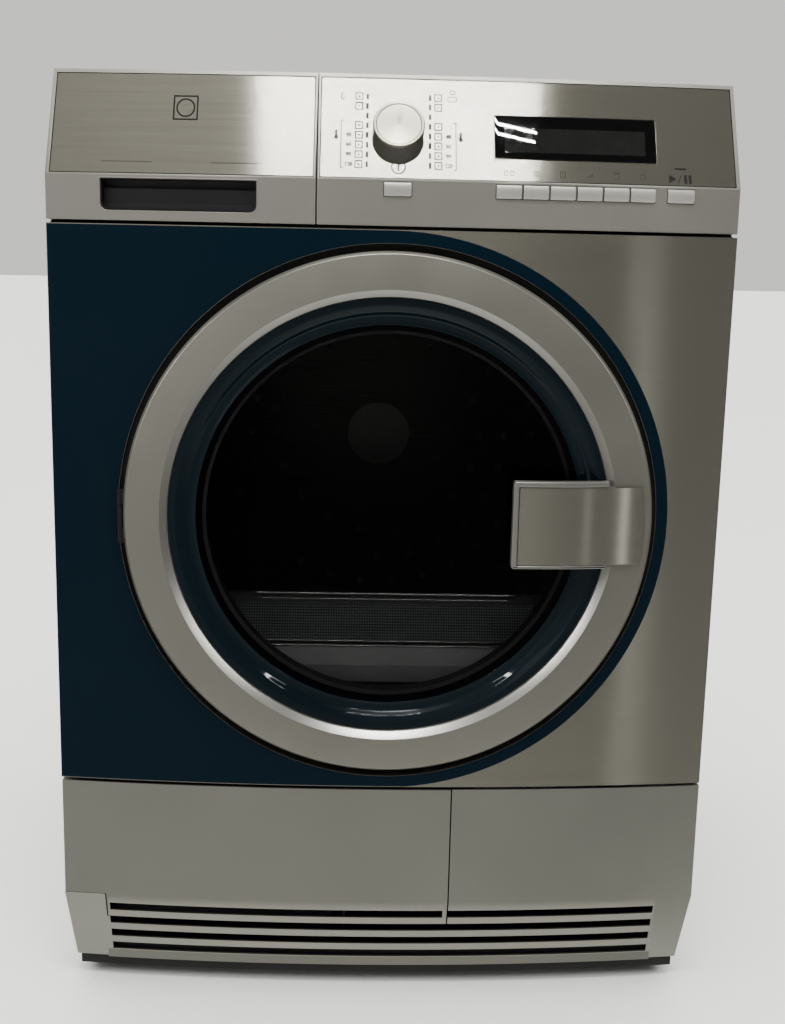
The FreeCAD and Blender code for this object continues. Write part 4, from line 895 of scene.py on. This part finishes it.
def numbers(name, entries, size, finish):
    """Plain bold figures on the dial scale."""
    pieces = bmesh.new()
    for text, x, z in entries:
        curve = bpy.data.curves.new(name, "FONT")
        curve.body = text
        curve.size = size * MM
        curve.align_x = "CENTER"
        curve.align_y = "CENTER"
        curve.extrude = 0.05 * MM
        curve.offset = 0.2 * MM
        curve.resolution_u = 4
        holder = bpy.data.objects.new(name, curve)
        mesh = bpy.data.meshes.new_from_object(holder)
        mesh.transform(Matrix.Translation((x * MM, z * MM, 0)))
        pieces.from_mesh(mesh)
        bpy.data.objects.remove(holder)
    whole = bpy.data.meshes.new(name)
    pieces.to_mesh(whole)
    pieces.free()
    made = bend(name, whole, mark_at, MARK_THICK, MARK_PITCH)
    return join_body(made, "cabinet", slot_of_node["control_fascia"], finish)


figures = [
    (text, DIAL_X + side * NUMBER_OUT, TICK_TOP - row * TICK_PITCH)
    for side in (-1, 1)
    for row, text in NUMBER_ROWS.items()
]
numbers("dial_numbers", figures, 4.4, black_ink)


def button_middle(node):
    low, high = node_box(node)
    return (low.x + high.x) / 2


ICON_Z = 767.0
icon_x = [button_middle(f"option_button_{number}") for number in range(1, 7)]
icons = []
for shift in (-2.6, 2.6):
    icons += frame_mark(icon_x[0] + shift, ICON_Z, 1.7, 2.3, 0.6, 0.4)
icons += ring_mark(icon_x[1], ICON_Z, 1.8, 0.6)
for step in range(8):
    angle = math.pi * step / 4
    icons += [circle(icon_x[1] + 2.9 * math.cos(angle), ICON_Z + 2.9 * math.sin(angle), 0.45, 8)]
icons += frame_mark(icon_x[2], ICON_Z, 2.4, 2.8, 0.6, 0.3) + bar_mark(icon_x[2], ICON_Z, 0.3, 2.1)
icons += [[(icon_x[3] - 3, ICON_Z - 2), (icon_x[3] + 3, ICON_Z - 2), (icon_x[3] + 3, ICON_Z + 1.6)]]
icons += [[(icon_x[3] - 1, ICON_Z - 1.5), (icon_x[3] + 2.5, ICON_Z - 1.5), (icon_x[3] + 2.5, ICON_Z + 0.6)]]
icons += frame_mark(icon_x[4], ICON_Z - 0.4, 2.3, 2.4, 0.6, 0.3) + bar_mark(icon_x[4], ICON_Z + 2.9, 2.9, 0.4)
icons += ring_mark(icon_x[5], ICON_Z, 2.7, 0.6) + bar_mark(icon_x[5] + 0.6, ICON_Z + 0.1, 0.3, 1.2)
marks("option_icons", icons, grey_ink)

START_X = button_middle("start_button")
start_marks = [[
    (START_X - 10.4, ICON_Z - 4.6), (START_X - 3.8, ICON_Z - 1.0), (START_X - 10.4, ICON_Z + 2.6)]]
start_marks += [[(START_X - 2.6, ICON_Z - 4.8), (START_X - 1.8, ICON_Z - 4.8), (START_X + 1.2, ICON_Z + 2.8),
                 (START_X + 0.4, ICON_Z + 2.8)]]
for shift in (4.4, 8.4):
    start_marks += bar_mark(START_X + shift, ICON_Z - 1.0, 1.3, 3.6)
start_marks += bar_mark(START_X + 0.2, ICON_Z + 7.8, 5.0, 0.75)
marks("start_marks", start_marks, black_ink)


# A plain sign, a circle in a square, and two thin lines stand on the drawer's plate.
SIGN_X = -180.6
SIGN_Z = 817
SIGN_HALF = 10.8
LINE_Z = 770
SIGN_LINE = 1.4
sign = frame_mark(SIGN_X, SIGN_Z, SIGN_HALF, SIGN_HALF, SIGN_LINE, 0.6)
sign += ring_mark(SIGN_X, SIGN_Z, SIGN_HALF - 2.6, SIGN_LINE)
join_body(marks("drawer_sign", sign, black_ink), "drawer", slot_of_node["drawer_fascia"], black_ink)
thin_lines = bar_mark(-228.5, LINE_Z, 21.5, 0.3) + bar_mark(-135, LINE_Z, 22, 0.3)
join_body(marks("drawer_lines", thin_lines, grey_ink), "drawer", slot_of_node["drawer_fascia"], grey_ink)


# ---------------------------------------------------------------- buttons and knob

def button_cap(node):
    """Key cap with a crowned face and rounded edges."""
    low, high = node_box(node)
    middle_z = (low.z + high.z) / 2
    half_z = (high.z - low.z) / 2
    crown = 1.5
    outline = node_outline(low, high, 0.9, -0.2)

    def crowned(x, z):
        return front_at(x) - 2.1 + crown * ((z - middle_z) / half_z) ** 2

    return stand_for(plate(f"{node}_cap", [outline], crowned, 7.0, 0.4, 6, 1), node)


for node in button_nodes:
    button_cap(node)

KNOB_RADIUS = 21.7
KNOB_TALL = 28
knob_spot = Vector((KNOB_X, fascia_at(KNOB_X, KNOB_Z), KNOB_Z)) * MM
knob_matrix = Matrix.Translation(knob_spot) @ Matrix.Rotation(math.pi / 2 - TILT, 4, "X")
knob_top = KNOB_TALL - 2.6
skirt = lathe("knob_skirt", rounded([
    (0, 0.7), (KNOB_RADIUS + 0.3, 0.7, 0.3), (KNOB_RADIUS + 0.1, 5),
    (KNOB_RADIUS - 0.7, knob_top, 0.2), (0, knob_top)], 0.1), (0, 0, 0), "z", 128)
skirt.matrix_world = knob_matrix
stand_for(skirt, "programme_knob")
cap = lathe("knob_disc", rounded([
    (0, knob_top), (KNOB_RADIUS - 0.6, knob_top), (KNOB_RADIUS, knob_top + 0.7, 0.3),
    (KNOB_RADIUS, KNOB_TALL - 0.8, 0.6), (KNOB_RADIUS - 0.8, KNOB_TALL, 0.5),
    (KNOB_RADIUS - 2.4, KNOB_TALL, 0.5), (KNOB_RADIUS - 3.2, KNOB_TALL - 0.5, 0.5),
    (0, KNOB_TALL - 0.5)], 0.1), (0, 0, 0), "z", 128)
cap.matrix_world = knob_matrix
stand_for(cap, "knob_cap")
for piece in (skirt, cap):
    piece.visible_glossy = False
    piece.visible_shadow = False


# ---------------------------------------------------------------- front panel, plinth and cabinet

CONDENSER_SHADED_FRONT = 63.9
condenser = softened("condenser", 0.4)
# The condenser's front faces get dark plastic: painted shade seen through the plinth's slots.
condenser.data.materials.append(finishes["dark_plastic"].material)
for polygon in condenser.data.polygons:
    if polygon.center.y < at(CONDENSER_SHADED_FRONT) * MM:
        polygon.material_index = 1

front_sheet = softened("front_panel", 0.35)

# The filter in the loading mouth: cloth on its slope, polished rails above and two ribs below.
softened("lint_filter", 0.3)
MOUTH_RADIUS = 175
SLOPE_TOP = (47.2, 372.5)
SLOPE_LOW = (31.9, 340.4)
APRON_LOW = (22.7, 320)


def mouth_half(z, spare):
    """Half the width of the loading mouth at a height, less some room."""
    return math.sqrt(MOUTH_RADIUS ** 2 - (z - DOOR_Z) ** 2) - spare


def filter_strip(name, top, low, thick, spare, finish):
    """A strip across the mouth between two (depth, height) lines."""
    wide_top, wide_low = mouth_half(top[1], spare), mouth_half(low[1], spare)
    front = [(-wide_low, at(low[0]), low[1]), (wide_low, at(low[0]), low[1]),
             (wide_top, at(top[0]), top[1]), (-wide_top, at(top[0]), top[1])]
    back = [(x, y + thick, z) for x, y, z in front]
    faces = [(0, 1, 2, 3), (7, 6, 5, 4), (0, 4, 5, 1), (1, 5, 6, 2), (2, 6, 7, 3), (3, 7, 4, 0)]
    return join_body(solid(name, front + back, faces), "cabinet", "filter_plastic", finish)


def rod(name, depth, z, half, radius, finish):
    made = lathe(name, [(0, -half), (radius, -half), (radius, half), (0, half)], (0, 0, 0), "z", 16)
    made.matrix_world = (Matrix.Translation(Vector((0, at(depth), z)) * MM)
                         @ Matrix.Rotation(math.pi / 2, 4, "Y"))
    return join_body(made, "cabinet", "filter_plastic", finish)


filter_strip("filter_cloth", SLOPE_TOP, SLOPE_LOW, 0.8, 6, screen_mesh)
filter_strip("filter_apron", (SLOPE_LOW[0] - 1.2, SLOPE_LOW[1] - 3), APRON_LOW, 0.8, 8, apron_grey)
filter_strip("filter_apron_low", APRON_LOW, (APRON_LOW[0], 304), 0.8, 8, apron_grey)
for name, depth, z, half, radius in (
        ("filter_rail_top", 50.4, 381.4, 122, 1.0), ("filter_rail_low", 50.0, 376.4, 116, 0.7),
        ("filter_rib_top", 31.4, 340.6, 112, 0.7), ("filter_rib_low", 29.6, 336.6, 110, 0.7)):
    rod(name, depth, z, half, radius, rail_chrome)

# Screws round the edge of the rear panel, and round the flange of the duct cover.
REAR_FACE = 573
COVER_FLANGE = REAR_FACE + 1.4
DRUM_Z = 470
SCREW_X = 285
SCREW_LOW = 70
SCREW_PITCH = 190
SCREW_TOP = 817
SCREW_TOP_PITCH = 150
SCREW_CIRCLE = 227
for side in (-1, 1):
    for step in range(4):
        spot = (side * SCREW_X, at(REAR_FACE), SCREW_LOW + SCREW_PITCH * step)
        rear_screw(f"rear_screw_{side}_{step}", spot, 4.0)
for step in range(3):
    spot = (SCREW_TOP_PITCH * (step - 1), at(REAR_FACE), SCREW_TOP)
    rear_screw(f"rear_screw_top_{step}", spot, 4.0)
for degrees in range(0, 226, 45):
    turn = math.radians(degrees)
    spot = (SCREW_CIRCLE * math.cos(turn), at(COVER_FLANGE), DRUM_Z + SCREW_CIRCLE * math.sin(turn))
    rear_screw(f"cover_screw_{degrees}", spot, 3.5)

softened("plinth_grille", 0.6)
softened("plinth_flap", 0.6)
softened("left_side_panel", 0.35)
softened("right_side_panel", 0.35)


# ---------------------------------------------------------------- floor, lights and camera

floor_mesh = bpy.data.meshes.new("floor")
FLOOR = 40.0
floor_corners = [(x, y, 0) for x, y in rectangle((-FLOOR, FLOOR), (-FLOOR, FLOOR))]
floor_mesh.from_pydata(floor_corners, [], [(0, 1, 2, 3)])
floor = link("floor", floor_mesh)
floor_finish = Finish("floor_paper", srgb(243, 244, 244), 0.7)
floor_finish.roughness(floor_finish.noise(30), 0.6, 0.8)
floor_mesh.materials.append(floor_finish.material)


def area_light(name, place, target, width, height, power):
    """A rectangular lamp aimed at a spot, in metres and watts, that the camera does not see."""
    data = bpy.data.lights.new(name, "AREA")
    data.shape = "RECTANGLE"
    data.size = width
    data.size_y = height
    data.energy = power
    lamp = bpy.data.objects.new(name, data)
    bpy.context.scene.collection.objects.link(lamp)
    lamp.location = place
    lamp.rotation_euler = (Vector(target) - Vector(place)).to_track_quat("-Z", "Y").to_euler()
    lamp.visible_camera = False
    return lamp


# Two tubes of a ceiling fixture, seen in the leaning fascia and its display.
TUBE_X, TUBE_Y, TUBE_Z = 0.065, -1.321, 2.594
TUBE_SIZE = (0.956, 0.005)
TUBE_POWER = 14
TUBE_TURN = math.radians(-4.6)
tube_aim = Vector((TUBE_X, -0.27, 0.8))
for name, offset in (("tube_front", -0.013), ("tube_back", 0.013)):
    tube = area_light(name, (TUBE_X, TUBE_Y + offset, TUBE_Z), tube_aim, *TUBE_SIZE, TUBE_POWER)
    tube.rotation_euler.rotate_axis("Z", TUBE_TURN)

STRIP_REACH = 3.0
STRIP_HEIGHT = 2.0
door_spot = Vector((0, -0.3, 0.4))
handle_spot = Vector((0.19, -0.31, -0.15))
panel_spot = Vector((0.225, -0.285, -0.15))


def light_only(lamp, receivers):
    """Let a lamp light the named pieces and nothing else."""
    group = bpy.data.collections.new(lamp.name)
    for receiver in receivers:
        group.objects.link(receiver)
    lamp.light_linking.receiver_collection = group


def strip_light(name, spot, bearing, width, level, receivers):
    """Upright soft strip beside the camera that only draws its band on the named pieces."""
    angle = math.radians(bearing)
    place = spot + Vector((math.sin(angle), -math.cos(angle), 0)) * STRIP_REACH
    power = level * math.pi * width * STRIP_HEIGHT
    light_only(area_light(name, place, spot, width, STRIP_HEIGHT, power), receivers)


# Lamps at both sides above the door: upright ones for the ring's chamfer, level ones for the navy ring.
for name, x, power in (("door_lamp_left", -2.4, 20), ("door_lamp_right", 2.4, 14)):
    light_only(area_light(name, (x, -1.1, 1.75), door_spot, 0.1, 1.3, power), [door_ring])
for name, x in (("inner_lamp_left", -1.12), ("inner_lamp_right", 1.12)):
    light_only(area_light(name, (x, -1.02, 1.69), door_spot, 0.45, 0.05, 3), [inner_ring])

strip_light("panel_band", panel_spot, 22.7, 0.17, 0.37, [front_sheet, control_plate])
strip_light("handle_band_left", handle_spot, 24.0, 0.08, 0.45, [handle_face])
strip_light("handle_band_right", handle_spot, 35.6, 0.11, 1.5, [handle_face])
area_light("soft_left", (-1.2, -2.9, 1.1), (-0.1, -0.29, 0.6), 1.1, 1.1, 1.2)

overhead_data = bpy.data.lights.new("overhead", "SUN")
overhead_data.energy = 6.2
overhead_data.angle = math.radians(110)
overhead_data.color = (1.0, 0.99, 0.96)
overhead = bpy.data.objects.new("overhead", overhead_data)
bpy.context.scene.collection.objects.link(overhead)
overhead.visible_glossy = False
floor.visible_glossy = False
floor.visible_shadow = False

world = bpy.data.worlds.new("studio")
bpy.context.scene.world = world
world.use_nodes = True
world_tree = world.node_tree


def world_node(kind, **inputs):
    made = world_tree.nodes.new(f"ShaderNode{kind}")
    for socket, value in inputs.items():
        made.inputs[socket].default_value = value
    return made


# The room is dim at eye level, and brighter towards its ceiling and its pale floor.
direction = world_node("TexCoord")
height = world_node("SeparateXYZ")
steps = world_node("ValToRGB")
world_tree.links.new(direction.outputs["Generated"], height.inputs[0])
shifted = world_node("MapRange", **{"From Min": -1})
world_tree.links.new(height.outputs[2], shifted.inputs["Value"])
world_tree.links.new(shifted.outputs["Result"], steps.inputs["Fac"])
tones = (
    (0.0, 0.95), (0.06, 0.85), (0.15, 0.34), (0.26, 0.38), (0.38, 0.34), (0.5, 0.32), (0.93, 0.34),
    (0.97, 1.4), (1.0, 2.4))
ramp = steps.color_ramp
while len(ramp.elements) < len(tones):
    ramp.elements.new(0.5)
for element, (place, tone) in zip(ramp.elements, tones):
    element.position = place
    element.color = (tone, tone * 0.985, tone * 0.93, 1)


def world_math(operation, *values):
    made = world_node("Math")
    made.operation = operation
    for socket, value in zip(made.inputs, values):
        if isinstance(value, bpy.types.NodeSocket):
            world_tree.links.new(value, socket)
        else:
            socket.default_value = value
    return made.outputs[0]


def world_ramp(source, start, stop, low, high):
    """A value that goes from one level to another while the source goes from start to stop."""
    made = world_node(
        "MapRange", **{"From Min": start, "From Max": stop, "To Min": low, "To Max": high})
    world_tree.links.new(source, made.inputs["Value"])
    return made.outputs["Result"]


# Its sides are dimmer, but not its floor.
bearing = world_math("ARCTAN2", height.outputs[0], world_math("MULTIPLY", height.outputs[1], -1))
left_side = world_ramp(bearing, math.radians(-35), math.radians(2), 0.93, 0.66)
right_side = world_ramp(bearing, math.radians(4), math.radians(22), 1, 0.46)
sides = world_math("SUBTRACT", world_math("MULTIPLY", left_side, right_side), 1)
above_floor = world_ramp(shifted.outputs["Result"], 0.2, 0.38, 0, 1)
glow = world_math("ADD", 1, world_math("MULTIPLY", above_floor, sides))

behind = world_ramp(height.outputs[1], 0.0, 0.4, 0, 1)
wall_behind = world_node("MixRGB", Color2=(0.80, 0.79, 0.75, 1))
world_tree.links.new(behind, wall_behind.inputs["Fac"])
world_tree.links.new(steps.outputs["Color"], wall_behind.inputs["Color1"])
room = world_tree.nodes["Background"]
world_tree.links.new(wall_behind.outputs[0], room.inputs["Color"])
world_tree.links.new(glow, room.inputs["Strength"])
wall = world_node("Background", Color=(1.0, 0.995, 0.94, 1), Strength=0.86)
seen = world_node("LightPath")
choose = world_node("MixShader")
world_tree.links.new(seen.outputs["Is Camera Ray"], choose.inputs["Fac"])
world_tree.links.new(room.outputs[0], choose.inputs[1])
world_tree.links.new(wall.outputs[0], choose.inputs[2])
world_tree.links.new(choose.outputs[0], world_tree.nodes["World Output"].inputs["Surface"])

LENS = 59.59
PITCH = 0.1909
YAW = 0.0313
ROLL = 0.022
CAMERA_PLACE = (-32.2, -1420.1, 691.9)
camera_data = bpy.data.cameras.new("camera")
camera_data.lens = LENS
camera_data.sensor_width = 36
camera_data.sensor_fit = "HORIZONTAL"
camera = bpy.data.objects.new("camera", camera_data)
bpy.context.scene.collection.objects.link(camera)
forward = Vector((math.sin(YAW) * math.cos(PITCH), math.cos(YAW) * math.cos(PITCH), -math.sin(PITCH)))
level = Vector((math.cos(YAW), -math.sin(YAW), 0))
above = level.cross(forward)
right = level * math.cos(ROLL) + above * math.sin(ROLL)
up = above * math.cos(ROLL) - level * math.sin(ROLL)
camera.matrix_world = (Matrix.Translation(Vector(CAMERA_PLACE) * MM)
                       @ Matrix((right, up, -forward)).transposed().to_4x4())
bpy.context.scene.camera = camera
